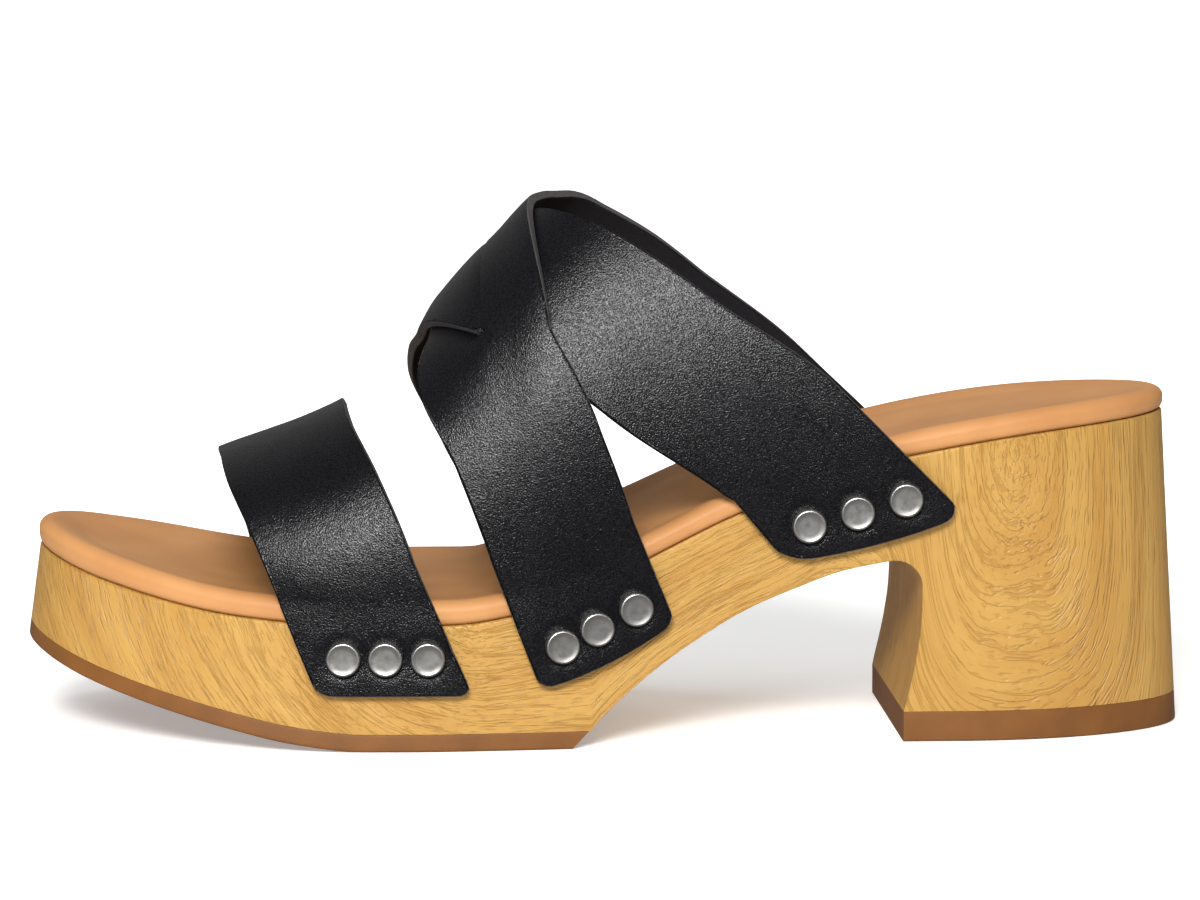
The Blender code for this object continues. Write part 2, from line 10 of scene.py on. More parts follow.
import bmesh
import bpy
import numpy as np
from bpy.props import FloatProperty, FloatVectorProperty, PointerProperty
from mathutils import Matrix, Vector


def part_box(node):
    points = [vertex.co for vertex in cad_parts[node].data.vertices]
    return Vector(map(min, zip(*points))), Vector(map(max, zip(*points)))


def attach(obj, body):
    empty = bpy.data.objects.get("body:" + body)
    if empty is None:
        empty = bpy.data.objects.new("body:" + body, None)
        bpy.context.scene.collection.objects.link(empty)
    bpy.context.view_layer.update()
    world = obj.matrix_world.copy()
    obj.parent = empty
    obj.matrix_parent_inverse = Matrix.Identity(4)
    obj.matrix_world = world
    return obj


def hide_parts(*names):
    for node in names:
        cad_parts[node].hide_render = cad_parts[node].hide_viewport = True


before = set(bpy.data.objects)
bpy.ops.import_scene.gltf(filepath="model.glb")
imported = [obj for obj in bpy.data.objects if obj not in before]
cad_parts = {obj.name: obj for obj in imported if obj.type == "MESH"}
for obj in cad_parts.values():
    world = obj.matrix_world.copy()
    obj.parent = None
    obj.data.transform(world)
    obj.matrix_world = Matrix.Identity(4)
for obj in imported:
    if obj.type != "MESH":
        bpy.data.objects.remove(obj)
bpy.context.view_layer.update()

bl_info = {
    "name": "Platform sandal",
    "version": (1, 0, 0),
    "blender": (4, 5, 0),
    "location": "3D View > Sidebar > Sandal",
    "description": "Dresses a platform sandal in moulded wood grain, black leather and pewter",
    "category": "Object",
}


def table(columns, *rows):
    """A short table, as one array for each named column."""
    return dict(zip(columns.split(), np.array(rows, float).T))


def linear(code):
    """An sRGB hex colour as linear red, green and blue."""
    parts = [int(code[i:i + 2], 16) / 255 for i in (0, 2, 4)]
    return tuple(c / 12.92 if c <= 0.04045 else ((c + 0.055) / 1.055) ** 2.4 for c in parts)


MM = 0.001
BODY = "root"
OUTER, INNER = -1, 1
GAP = 0.3
MERGE_DISTANCE = 0.002

# Side view of the sole
OUTSOLE_THICKNESS = 3.3
HEEL_TIP_THICKNESS = 6.0
OUTSOLE_END = -6.0
OUTSOLE_END_SLOPE = 3.5
BREAST_FILLET = 5.8
BREAST_SKEW = -0.046
RISE_SKEW = -0.11
RISE_SPAN = (-32.0, -8.0, 30.0, 62.0)
SKEW_ORIGIN = -30.0
TOP_LINE = table(
    "station height",
    (-119, 37.2), (-102, 32.5), (-73, 27.1), (-47, 25.5), (-30, 25.7), (-18, 27.4), (-3, 32.3),
    (12, 39.8), (26.5, 46.8), (45, 54.0), (65, 59.6), (90, 63.7), (118, 66.3),
)
GROUND_LINE = table(
    "station height",
    (-124, 18.6), (-108, 12.9), (-92, 8.5), (-76, 4.5), (-62, 1.5), (-48, 0.0), (-20, 0.0),
)
ARCH_LINE = table(
    "station height",
    (-2.2, 3.6), (0, 6.2), (10, 15.0), (20, 22.1), (30.5, 28.2), (41, 32.6), (50, 35.8), (60, 37.8),
)
BREAST_LINE = table("height station", (6.3, 62.5), (18, 65.0), (25, 65.9), (32, 66.2))

# Plan of the sole
OUTLINE = table(
    "station outer inner flare",
    (-95, 40.0, 43.0, 3.0), (-60, 40.0, 43.5, 1.7), (-40, 40.0, 44.0, 1.5), (-15, 38.0, 40.5, 1.2),
    (15, 33.5, 34.0, 0.4), (45, 31.0, 31.0, -0.6), (75, 30.5, 30.5, -1.5),
)
TOE_END = {"top": -118.9, "floor": -124.0}
HEEL_END = {"top": 118.2, "floor": 122.2}
TOE_ROUND = {OUTER: 70.0, INNER: 46.0}
HEEL_ROUND = 47.0
TOE_APEX = 6.0
GIRTH_STEPS = 400

# Mesh of the sole: lines across the side view, and the stations where their groups end on the top line
TOE_LINES, ARCH_LINES, FILLET_LINES, BREAST_LINES, HEEL_LINES = 46, 33, 8, 16, 30
OUTSOLE_LINES, TIP_LINES = 60, 40
ARCH_TOP, FILLET_TOP, BREAST_TOP = 70.0, 77.0, 94.0
JOINT_ROUND = 0.15  # rounding of the edges where wood and rubber meet
ROUND_LIMIT = 0.45  # the most of a line that one edge's rounding takes
TREAD_STEPS = 4
SOLE_SHARP = 40  # degrees from which an edge stays crisp

# First guesses and passes of the sums that close in on a place
FIRST_HEIGHT, FIRST_WIDTH = 45.0, 30.0
WALL_PASSES, RING_PASSES, SLANT_PASSES = 4, 5, 6
TINY = 1e-6

# Padded insole
INSOLE_RIM = 5.0
INSOLE_SECTION = table(
    "inset height",
    (1.0, 0.1), (0.1, 0.75), (-0.2, 1.7), (-0.2, 2.9), (0.7, 4.3), (2.6, 5.0), (5.2, 4.8), (10.0, 3.9),
)
INSOLE_DISH = 3.0
INSOLE_STEPS, INSOLE_TURNS, INSOLE_CROSSINGS = 110, 26, 15
INSOLE_SHARP = 60
TOE_SWELL = 0.2
TOE_SWELL_SPAN = (60.0, 118.0)
DISH_FADE = 0.25
DISH_POWER = 1.5

# The last, as the inside of the straps
CROWN_LINE = table(
    "station height",
    (-100, 47), (-80, 55), (-55, 65), (-40, 77), (-25, 94), (-18, 101), (-10, 110), (5, 119), (30, 126),
    (60, 132),
)
CROWN_SHIFT = 2.0
FULLNESS = 2.3
LEG_SCALE = 60.0
WALL_GAP = 0.35
RIM_CLEARANCE = 0.3
RIM_RISE = (0.5, 0.8)


def strap_end(front, rear, corner, studs, inset=6.2, bow=1.5):
    """A cut end: its corners (station, height), their rounding, its studs' places and inset, and its bow."""
    return {
        "front": np.array(front), "rear": np.array(rear), "corner": corner, "studs": studs, "inset": inset,
        "bow": bow,
    }


# Straps
TIGHT_CORNER = 2.8
WIDE_CORNER = 4.5
STUDS_EVEN = (0.255, 0.51, 0.80)
STUDS_SLANT = (0.17, 0.44, 0.71)
TOE_STRAP = {
    "width": 28.5,
    "path": table(
        "around station",
        (0, -50), (30, -57.5), (60, -63.5), (90, -66.5), (120, -68.5), (150, -67), (180, -63),
    ),
    OUTER: strap_end((-57.2, 11.6), (-25.8, 11.6), TIGHT_CORNER, STUDS_SLANT, inset=7.8, bow=0.0),
    INNER: strap_end((-72.0, 13.0), (-40.5, 11.8), TIGHT_CORNER, STUDS_SLANT, inset=7.8, bow=0.0),
}
OVER_STRAP = {
    "width": 30.0,
    "path": table(
        "around station",
        (0, -6), (20, -14.5), (50, -23.5), (90, -22), (125, -11), (155, 11), (180, 39),
    ),
    OUTER: strap_end((-12.2, 12.6), (15.2, 26.0), TIGHT_CORNER, STUDS_EVEN),
    INNER: strap_end((37.9, 37.8), (73.5, 47.6), WIDE_CORNER, STUDS_SLANT),
}
THROUGH_STRAP = {
    "width": 32.0,
    "path": table(
        "around station",
        (0, 42), (25, 11), (55, -13.5), (90, -26), (110, -28.5), (130, -27.5), (160, -20), (180, -10),
    ),
    OUTER: strap_end((37.9, 37.8), (74.5, 47.6), WIDE_CORNER, STUDS_SLANT),
    INNER: strap_end((-17.1, 13.6), (9.2, 27.4), TIGHT_CORNER, STUDS_EVEN),
}
STRAPS = {"toe": TOE_STRAP, "over": OVER_STRAP, "through": THROUGH_STRAP}
SIDES = {"outer": OUTER, "inner": INNER}
SLIT_PLACE = 1.0
SLIT_WIDTH = 0.3
SLIT_REACH = (12.0, 15.0)
SLIT_FAN = (4.0, 13.0)  # how much further the lift reaches at the strap's rear edge
SLIT_FADE = (9.5, 55.0)  # the rear half's lift down the outer side
SLIT_END = 16.0  # from the passing strap's middle to the slit's outer end
SLIT_TURN = 80.0  # angle round the outer end in which the front half rises to the rear
SLIT_PASSAGE = (-4.0, 2.0)
FRONT_LAP = (15.0, 26.0)
LAYER_CLEARANCE = 0.08
LEG_START = 4.0
OVER_ROWS = 110
LEG_ROWS = 34
COLUMNS = 36
CORNER_STEPS = 6
LIP_ROOM = 0.4  # columns nearer than this to the slit are left out
GEODESIC_STEPS = 8
CUT_SEGMENTS = 3
CUT_ANGLE = 50
STUD_PRESS = 0.3  # how deep the studs sink the leather
STUD_PRESS_REACH = 1.1
CREASE_DEPTH = 0.06  # soft unevenness of the leather
CREASE_LENGTHS = (23.0, 14.0, 9.0)
CREASE_ALONG = (0.7, 0.0, 0.5)
CREASE_ACROSS = (-0.3, -0.8, 0.6)

# Studs: radius as a share of half the diameter, and height above the leather
STUD_PROFILE = table(
    "radius height",
    (0.0, 1.02), (0.55, 1.03), (0.80, 1.08), (0.86, 1.18), (0.91, 1.18), (0.96, 1.05), (0.99, 0.85),
    (1.0, 0.5), (1.0, -0.9),
)
STUD_SEGMENTS = 56
STUD_SHARP = 50

# Wood figure of the forefoot: arcs round a place above the block, and straight grain behind it
ARC_STATION = -22.0
ARC_RADIUS = 12.0  # from that place down to the block's top edge
ARC_DEPTH = 26.0  # from the block's top edge to its bottom
ARC_LENGTH = 60.0  # length of grain for one radian of an arc

# Wood figure of the heel: U-shaped rings, open at the top, round this place
FIGURE_STATION = 88.0
FIGURE_HEIGHT = 64.0
FIGURE_WIDTH = 25.0
FIGURE_DROP = 58.0  # depth of a ring that is twice FIGURE_WIDTH wide
FIGURE_POWER = 3.0
FIGURE_LENGTH = 30.0  # length of grain for one radian of a ring
FIGURE_SPAN = (34.0, 74.0)  # stations between which one figure turns into the other
UNDER_GRAIN = 90.0  # the underside's own grain lies this far beside the walls'

# Patterns of the finishes, those of the wood across and along its grain
WOOD_DRIFT, DRIFT_REACH = (9.0, 24.0), 0.6  # the lines wander this far to either side
WOOD_LINE, WOOD_PORE, WOOD_BAND = (2.0, 52.0), (0.4, 4.0), (7.0, 60.0)
RUBBER_CLOUD, RUBBER_SPECK = 9.0, 0.7
FOOTBED_CLOUD, FOOTBED_PEBBLE = 16.0, 0.8  # pebbles are really 0.4 mm, drawn coarser so that they show
LEATHER_CLOUD, LEATHER_GRAIN = 14.0, 0.3
SUEDE_NAP, EDGE_FIBRE, PAPER_FIBRE = 0.4, 0.5, 3.0
PEWTER_CLOUD, PEWTER_SPECK = 1.6, 0.3
NOISE_SPAN = {"From Min": 0.3, "From Max": 0.7}  # where most values of a noise lie
SHARE, FIRST, SECOND, MIXED = 0, 6, 7, 2  # sockets of a mix of two colours
WHITE = (1.0, 1.0, 1.0, 1.0)

# Studio paper: its reach to each side, to the front and back and upwards, and the bend at its back
PAPER_HALF = 3000.0
PAPER_FRONT = -3000.0
PAPER_BACK = 1600.0
PAPER_BEND = 900.0
PAPER_TOP = 3000.0
BEND_STEPS = 16
GLOW_SPAN = (120.0, 420.0)  # behind the sandal, the paper's glow grows between these places
# painted light: the floor glows faintly near the sandal to lift its shadows, and fully far behind it in place
# of lamp light
NEAR_GLOW = 0.3
FAR_GLOW = 1.0

# Lights: place and size in metres, power in watts, and whether shiny surfaces mirror the light
LIGHTS = (
    ("front softbox", (-0.12, -1.0, 0.65), (0.44, 0.34), 4.6, True),
    ("toe fill", (-1.2, -0.3, 0.25), (0.6, 0.4), 0.5, False),
    ("overhead fill", (-0.1, 0.0, 1.4), (1.2, 0.9), 1.7, False),
    ("rear fill", (0.1, 1.2, 0.7), (0.8, 0.6), 0.9, False),
)
LIGHT_AIM = (0.0, 0.0, 0.05)
LIGHT_SPREAD = 90.0
ROOM_LIGHT = 0.2

# The photograph's view
CAMERA_DISTANCE = 900.0
CAMERA_PITCH = 6.8
CAMERA_TARGET = (0.0, -1.5, 57.17)
CAMERA_CLIP = (0.05, 20.0)
FOCAL_PIXELS = 4270.0
IMAGE_WIDTH = 1200
SENSOR = 36.0


def size(name, description, default, low, high):
    """A length that a user may change."""
    return FloatProperty(
        name=name, description=description, default=default * MM, min=low * MM, max=high * MM, unit="LENGTH"
    )


def colour(name, description, code):
    """A colour that a user may change."""
    return FloatVectorProperty(
        name=name, description=description, default=linear(code), size=3, min=0.0, max=1.0, subtype="COLOR"
    )


class SandalSizes(bpy.types.PropertyGroup):
    """Sizes of the sandal's finish"""

    leather: size("Leather", "Thickness of the straps", 2.0, 1.0, 3.0)
    cut_round: size("Cut edge", "Rounding of the straps' cut edges", 0.4, 0.0, 0.9)
    wood_round: size("Wood edge", "Rounding of the sole block's edges", 0.5, 0.1, 3.0)
    rubber_round: size("Rubber edge", "Rounding of the treads' edges", 0.6, 0.1, 1.5)
    stud: size("Stud", "Diameter of a stud", 7.0, 5.0, 9.0)


class SandalColours(bpy.types.PropertyGroup):
    """Colours of the sandal's finishes"""

    wood: colour("Wood", "Light ground of the wood grain", "B48C47")
    wood_shade: colour("Wood shade", "Broad darker bands of the wood grain", "A97D3A")
    wood_line: colour("Wood line", "Fine lines of the wood grain", "875B1E")
    rubber: colour("Rubber", "Outsole and heel tip", "734719")
    insole: colour("Insole", "Padded footbed", "BA8551")
    insole_shade: colour("Insole shade", "Cloudy darker places of the footbed", "B07A48")
    leather: colour("Leather", "Straps", "08070A")
    lining: colour("Lining", "Inner faces of the straps", "131215")
    cut_edge: colour("Cut edge", "Painted edges of the straps", "403D3D")
    pewter: colour("Pewter", "Stud faces", "BEBCB8")
    tarnish: colour("Tarnish", "Dark places of the studs", "7A7774")
    floor: colour("Floor", "Studio floor and backdrop", "F4F4F3")


def smooth(xs, ys, x):
    """A smooth curve through the rows of a table that never overshoots them."""
    x = np.asarray(x, float)
    runs = np.diff(xs)
    secants = np.diff(ys) / runs
    slopes = np.concatenate(([secants[0]], np.zeros(len(xs) - 2), [secants[-1]]))
    before, after = secants[:-1], secants[1:]
    same = before * after > 0
    slopes[1:-1][same] = 2 * before[same] * after[same] / (before[same] + after[same])
    row = np.clip(np.searchsorted(xs, x) - 1, 0, len(runs) - 1)
    t = np.clip((x - xs[row]) / runs[row], 0, 1)
    rise = ys[row] * (1 + 2 * t) * (1 - t) ** 2 + ys[row + 1] * t * t * (3 - 2 * t)
    bend = runs[row] * (slopes[row] * t * (1 - t) ** 2 - slopes[row + 1] * t * t * (1 - t))
    beyond = np.minimum(x - xs[0], 0) * slopes[0] + np.maximum(x - xs[-1], 0) * slopes[-1]
    return rise + bend + beyond


def curve(rows, x):
    """The second column of a table at places in its first."""
    xs, ys = rows.values()
    return smooth(xs, ys, x)


def ease(value, start, end):
    """0 before start and 1 after end, with a soft step between them."""
    t = np.clip((value - start) / (end - start), 0, 1)
    return t * t * (3 - 2 * t)


def unit(vectors):
    """The directions of vectors."""
    return vectors / np.linalg.norm(vectors, axis=-1)[..., None]


def rise_slant(station):
    """How far the footbed's side view shifts along the foot for each millimetre across it."""
    begin, full, fade, end = RISE_SPAN
    return RISE_SKEW * ease(station, begin, full) * (1 - ease(station, fade, end))


def top_height(station, y):
    """Height of the wood's top face."""
    place = station
    for _ in range(SLANT_PASSES):
        place = station - rise_slant(place) * (y - SKEW_ORIGIN)
    return curve(TOP_LINE, place)


def rounding(distance, length):
    """An elliptical end: 0 at its tip, and 1 from its length on."""
    return np.sqrt(1 - (1 - np.clip(distance / length, 0, 1)) ** 2)


def edge(station, side, level):
    """Y of the sole's outline on one side, at the wood's top edge or on the floor."""
    column = OUTLINE["outer" if side == OUTER else "inner"]
    width = smooth(OUTLINE["station"], column, station)
    if level == "floor":
        width = width + smooth(OUTLINE["station"], OUTLINE["flare"], station)
    toe = rounding(station - TOE_END[level], TOE_ROUND[side])
    heel = rounding(HEEL_END[level] - station, HEEL_ROUND)
    return (TOE_APEX + (side * width - TOE_APEX) * toe) * heel


def plan_station(share, level):
    """Station of a place along the outline, as a share of its length from toe to heel."""
    return TOE_END[level] + (HEEL_END[level] - TOE_END[level]) * share


def floor_share(station):
    """Share of the outline's length on the floor, from toe to heel, at a station."""
    return (station - TOE_END["floor"]) / (HEEL_END["floor"] - TOE_END["floor"])


def wall_place(station, height, side):
    """Y of the sole's drafted side wall, and the place's share of the outline's length."""
    lean = np.clip(height / FIRST_HEIGHT, 0, 1)
    for _ in range(WALL_PASSES):
        start = plan_station(0, "floor") * (1 - lean) + plan_station(0, "top") * lean
        end = plan_station(1, "floor") * (1 - lean) + plan_station(1, "top") * lean
        share = np.clip((station - start) / (end - start), 0, 1)
        top = plan_station(share, "top")
        y_top = edge(top, side, "top")
        lean = height / top_height(top, y_top)
    y = y_top * lean + edge(plan_station(share, "floor"), side, "floor") * (1 - lean)
    return y, share


def girth(share, side):
    """Distance round the outline from the heel's rear end."""
    steps = (1 - np.cos(np.linspace(0, math.pi, GIRTH_STEPS))) / 2
    station = plan_station(steps, "floor")
    run = np.hypot(np.diff(station), np.diff(edge(station, side, "floor")))
    length = np.concatenate([[0], np.cumsum(run)])
    return np.interp(share, steps, length[-1] - length)


def shift():
    """From the drawing's origin to the part's, in millimetres, read from where the heel tip stands."""
    low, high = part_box("heel_tip")
    return np.array([high.x / MM - HEEL_END["floor"], (low.y + high.y) / 2 / MM, 0.0])


def make_object(name, points, faces, finishes):
    """A smooth-shaded object from points in millimetres."""
    mesh = bpy.data.meshes.new(name)
    mesh.from_pydata(((np.asarray(points) + shift()) * MM).tolist(), [], faces)
    for material in finishes:
        mesh.materials.append(material)
    mesh.shade_smooth()
    thing = bpy.data.objects.new(name, mesh)
    bpy.context.scene.collection.objects.link(thing)
    return thing


def place_piece(thing, slot, *nodes):
    """Fix a finished piece to the sandal, in place of its solids."""
    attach(thing, BODY)
    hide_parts(*nodes)


def clean_mesh(mesh, sharp):
    """Merge points that coincide, turn the faces outwards and keep edges sharper than an angle crisp."""
    bm = bmesh.new()
    bm.from_mesh(mesh)
    bmesh.ops.remove_doubles(bm, verts=bm.verts, dist=MERGE_DISTANCE * MM)
    bmesh.ops.dissolve_degenerate(bm, edges=bm.edges, dist=MERGE_DISTANCE / 2 * MM)
    bmesh.ops.recalc_face_normals(bm, faces=bm.faces)
    bm.to_mesh(mesh)
    bm.free()
    mesh.set_sharp_from_angle(angle=math.radians(sharp))


def block_rings(bottom, top, radii, wall_steps=14, across_steps=16, arc_steps=5):
    """Rings of points round a sole piece, one for each line of its side view from bottom to top.

    Each end of a line has a station, a height and how far it shifts along the foot across it. The radii round
    the piece's lower and upper edges. The rings run up the outer wall, over the top, down the inner wall and
    back under the bottom.
    """
    length = np.hypot(*(top - bottom)[:, :2].T)[:, None]
    low, high = (np.minimum(radius, ROUND_LIMIT * length) for radius in radii)
    turn = np.linspace(0, math.pi / 2, arc_steps + 1)
    middle = np.linspace(0, 1, wall_steps + 1)[1:-1]
    wall_run = low + (length - low - high) * middle
    along = [low * (1 - np.cos(turn)), wall_run, length - high * (1 - np.cos(turn[::-1]))]
    inset = [low * (1 - np.sin(turn)), 0 * wall_run, high * (1 - np.sin(turn[::-1]))]
    along, inset = np.concatenate(along, axis=1), np.concatenate(inset, axis=1)
    line = bottom[:, None] + (top - bottom)[:, None] * (along / length)[..., None]
    walls, shares = {}, {}
    for side in SIDES.values():
        y = np.full(along.shape, side * FIRST_WIDTH)
        for _ in range(RING_PASSES):
            x = line[..., 0] + line[..., 2] * (y - SKEW_ORIGIN)
            y, shares[side] = wall_place(x, line[..., 1], side)
        pace = np.stack([np.gradient(x, axis=0), np.gradient(y, axis=0)], axis=-1)
        tips = (shares[side] < TINY) | (shares[side] > 1 - TINY)
        pace[tips] = np.stack([0 * y, -side * np.where(x < 0, -1.0, 1.0)], axis=-1)[tips]
        pace /= np.maximum(np.linalg.norm(pace, axis=-1), TINY)[..., None]
        x = x - side * -pace[..., 1] * inset
        y = y - side * pace[..., 0] * inset
        walls[side] = np.stack([x, y, line[..., 1]], axis=-1)
    share = np.linspace(0, 1, across_steps + 1)[1:-1, None]
    over = walls[OUTER][:, -1:] * (1 - share) + walls[INNER][:, -1:] * share
    under = walls[INNER][:, :1] * (1 - share) + walls[OUTER][:, :1] * share
    rings = np.concatenate([walls[OUTER], over, walls[INNER][:, ::-1], under], axis=1)
    return rings, shares, along.shape[1], across_steps - 1


def ring_faces(rows, count, first_cap=False, last_cap=False):
    """Quads between rings, with a cap on each end that is cut off."""
    faces = []
    for r in range(rows - 1):
        for c in range(count):
            d = (c + 1) % count
            faces.append((r * count + c, r * count + d, (r + 1) * count + d, (r + 1) * count + c))
    if first_cap:
        faces.append(tuple(range(count)))
    if last_cap:
        faces.append(tuple((rows - 1) * count + c for c in range(count)))
    return faces


def view_points(stations, heights, slants):
    """Points of the side view, each with how far it shifts along the foot for a millimetre across it."""
    stations, heights, slants = np.broadcast_arrays(stations, heights, slants)
    return np.stack([stations, heights, slants], axis=1).astype(float)


def toe_shares(last_station, steps):
    """Shares of the outline's length from the toe's tip, close together there."""
    return floor_share(last_station) * (1 - np.cos(np.linspace(0, math.pi / 2, steps + 1)))


def lean_station(share, height):
    """Station of a place on the wall's drafted line."""
    top = plan_station(share, "top")
    lean = height / top_height(top, 0.0)
    return plan_station(share, "floor") * (1 - lean) + top * lean


def tread_line(share, lift):
    """Stations and heights along the forefoot's rocker, lifted from the floor side of the outsole."""
    station = plan_station(share, "floor")
    for _ in range(WALL_PASSES):
        height = curve(GROUND_LINE, station) + lift
        station = lean_station(share, height)
    return station, height


def heel_line(front, height, way):
    """A level line under the heel, from its front at a station to the rear end."""
    station = front + (lean_station(1.0, height) - front) * way
    return view_points(station, height, BREAST_SKEW * (1 - way))


def platform_lines():
    """Lines across the sole block's side view, which fan out round the heel's breast."""
    share = toe_shares(ARCH_LINE["station"][0], TOE_LINES)
    tread = view_points(*tread_line(share, OUTSOLE_THICKNESS + GAP), 0.0)
    tread[-1, 2] = BREAST_SKEW
    tread_top = plan_station(share, "top")
    station = np.linspace(ARCH_LINE["station"][0], ARCH_LINE["station"][-1], ARCH_LINES + 1)[1:]
    arch = view_points(station, curve(ARCH_LINE, station), BREAST_SKEW)
    turn = np.linspace(math.pi / 2, 0, FILLET_LINES + 1)[1:]
    centre = (BREAST_LINE["station"][-1] - BREAST_FILLET, BREAST_LINE["height"][-1])
    fillet = view_points(
        centre[0] + BREAST_FILLET * np.cos(turn), centre[1] + BREAST_FILLET * np.sin(turn), BREAST_SKEW
    )
    height = np.linspace(BREAST_LINE["height"][-1], HEEL_TIP_THICKNESS + GAP, BREAST_LINES + 1)[1:]
    breast = view_points(curve(BREAST_LINE, height), height, BREAST_SKEW)
    way = np.sin(np.linspace(0, math.pi / 2, HEEL_LINES + 1))[1:]
    heel = heel_line(breast[-1, 0], HEEL_TIP_THICKNESS + GAP, way)
    bottom = np.concatenate([tread, arch, fillet, breast, heel])
    station = np.concatenate([
        tread_top,
        np.linspace(tread_top[-1], ARCH_TOP, ARCH_LINES + 1)[1:],
        np.linspace(ARCH_TOP, FILLET_TOP, FILLET_LINES + 1)[1:],
        np.linspace(FILLET_TOP, BREAST_TOP, BREAST_LINES + 1)[1:],
        BREAST_TOP + (HEEL_END["top"] - BREAST_TOP) * way,
    ])
    top = view_points(station, curve(TOP_LINE, station), rise_slant(station))
    return bottom, top


def grain_places(points, shares, wall_count, across):
    """Where each point lies in the wood figure, across and along the grain: on the walls, and underneath."""
    bottom, top = points[:, :1, 2], points[:, wall_count - 1:wall_count, 2]
    rise = (points[..., 2] - bottom) / (top - bottom)
    side_shares = np.concatenate([
        shares[OUTER], np.repeat(shares[OUTER][:, -1:], across, axis=1), shares[INNER][:, ::-1],
        np.repeat(shares[INNER][:, :1], across, axis=1),
    ], axis=1)
    aside = (girth(side_shares, OUTER) - girth(floor_share(FIGURE_STATION), OUTER)) / FIGURE_WIDTH
    drop = np.maximum(FIGURE_HEIGHT - points[..., 2], 0) / FIGURE_DROP
    ring = (np.abs(aside) ** FIGURE_POWER + drop ** FIGURE_POWER) ** (1 / FIGURE_POWER) * FIGURE_WIDTH
    ring_along = np.arctan2(aside, drop) * FIGURE_LENGTH
    ahead = np.maximum(ARC_STATION - points[..., 0], 0)
    below = ARC_RADIUS + ARC_DEPTH * (1 - rise)
    arc_along = np.where(ahead > 0, np.arctan2(ahead, below) * ARC_LENGTH, ARC_STATION - points[..., 0])
    turn = ease(points[..., 0], *FIGURE_SPAN)
    across_walls = np.hypot(ahead, below) * (1 - turn) + ring * turn
    along_walls = arc_along * (1 - turn) + ring_along * turn
    profile = np.concatenate([[0], np.cumsum(np.hypot(*np.diff(points[:, 0][:, [0, 2]], axis=0).T))])
    under_along = np.broadcast_to(profile[:, None], along_walls.shape)
    walls = np.stack([across_walls, along_walls], axis=-1)
    return walls, np.stack([points[..., 1] + UNDER_GRAIN, under_along], axis=-1)


def store_grain(mesh, faces, walls, under, count, under_start):
    """Keep the wood figure's places on the mesh, with the underside's own at its faces."""
    layer = mesh.attributes.new("grain", "FLOAT_VECTOR", "CORNER")
    flat_walls, flat_under = walls.reshape(-1, 2), under.reshape(-1, 2)
    values = []
    for face in faces:
        low = min(corner % count for corner in face)
        high = max(corner % count for corner in face)
        beneath = low >= under_start or (low == 0 and high == count - 1)
        source = flat_under if beneath else flat_walls
        values += [(*source[corner], 0.0) for corner in face]
    layer.data.foreach_set("vector", np.array(values, np.float32).ravel())


def inset_loop(loop, distance):
    """The outline moved inwards by a distance."""
    along = unit(np.roll(loop, -1, axis=0) - np.roll(loop, 1, axis=0))
    inward = np.stack([-along[:, 1], along[:, 0]], axis=1)
    return loop + inward * distance


def insole_edge(station, side):
    """Height of the insole's edge, where the straps leave the sole's wall."""
    return top_height(station, edge(station, side, "top")) + INSOLE_RIM


def strap_wall(station, height, side):
    """Y of a strap's inner face where it lies on the sole, a little further out at the insole's rim."""
    rise = np.clip(height / insole_edge(station, side), 0, 1)
    clearance = WALL_GAP + RIM_CLEARANCE * ease(rise, *RIM_RISE)
    return wall_place(station, height, side)[0] + side * clearance


def last_point(station, around):
    """A point of the last, round its section from the outer wall (below 0) to the inner (above pi)."""
    outer = strap_wall(station, insole_edge(station, OUTER), OUTER)
    inner = strap_wall(station, insole_edge(station, INNER), INNER)
    middle = (outer + inner) / 2 + CROWN_SHIFT
    turn = np.clip(around, 0, math.pi)
    on_outer_half = turn < math.pi / 2
    edge_height = np.where(on_outer_half, insole_edge(station, OUTER), insole_edge(station, INNER))
    power = 2 / FULLNESS
    reach = np.abs(np.cos(turn)) ** power
    y = middle + np.where(on_outer_half, outer - middle, inner - middle) * reach
    z = edge_height + (curve(CROWN_LINE, station) - edge_height) * np.sin(turn) ** power
    below = (turn - around) * np.where(around < 0, 1, -1) * LEG_SCALE
    z = np.where(below > 0, edge_height - below, z)
    y = np.where((around < 0) & (below > 0), strap_wall(station, z, OUTER), y)
    y = np.where((around > math.pi) & (below > 0), strap_wall(station, z, INNER), y)
    return np.stack([np.broadcast_to(station, y.shape), y, z], axis=-1)


def around_at(station, height, side):
    """The angle round the last at a height on one side."""
    edge_height = insole_edge(station, side)
    share = np.clip((height - edge_height) / (curve(CROWN_LINE, station) - edge_height), 0, 1)
    over = np.arcsin(share ** (FULLNESS / 2))
    angle = np.where(height < edge_height, (height - edge_height) / LEG_SCALE, over)
    return angle if side == OUTER else math.pi - angle


def last_slopes(station, around):
    """How a point of the last moves along the foot and round it."""
    step, turn = 0.05, 0.002
    along = (last_point(station + step, around) - last_point(station - step, around)) / (2 * step)
    across = (last_point(station, around + turn) - last_point(station, around - turn)) / (2 * turn)
    return along, across


def last_normal(station, around):
    """The direction straight out of the last."""
    return unit(np.cross(*last_slopes(station, around)))


def walk(station, around, direction, distance):
    """Walk over the last from points on it, in a direction in space, for a distance."""
    for _ in range(GEODESIC_STEPS):
        along, across = last_slopes(station, around)
        aa = np.sum(along * along, axis=-1)
        cc = np.sum(across * across, axis=-1)
        ac = np.sum(along * across, axis=-1)
        ad = np.sum(along * direction, axis=-1)
        cd = np.sum(across * direction, axis=-1)
        scale = aa * cc - ac * ac
        move = (ad * cc - cd * ac) / scale
        turn = (cd * aa - ad * ac) / scale
        speed = np.linalg.norm(along * move[..., None] + across * turn[..., None], axis=-1)
        station = station + move / speed * distance / GEODESIC_STEPS
        around = around + turn / speed * distance / GEODESIC_STEPS
    return station, around


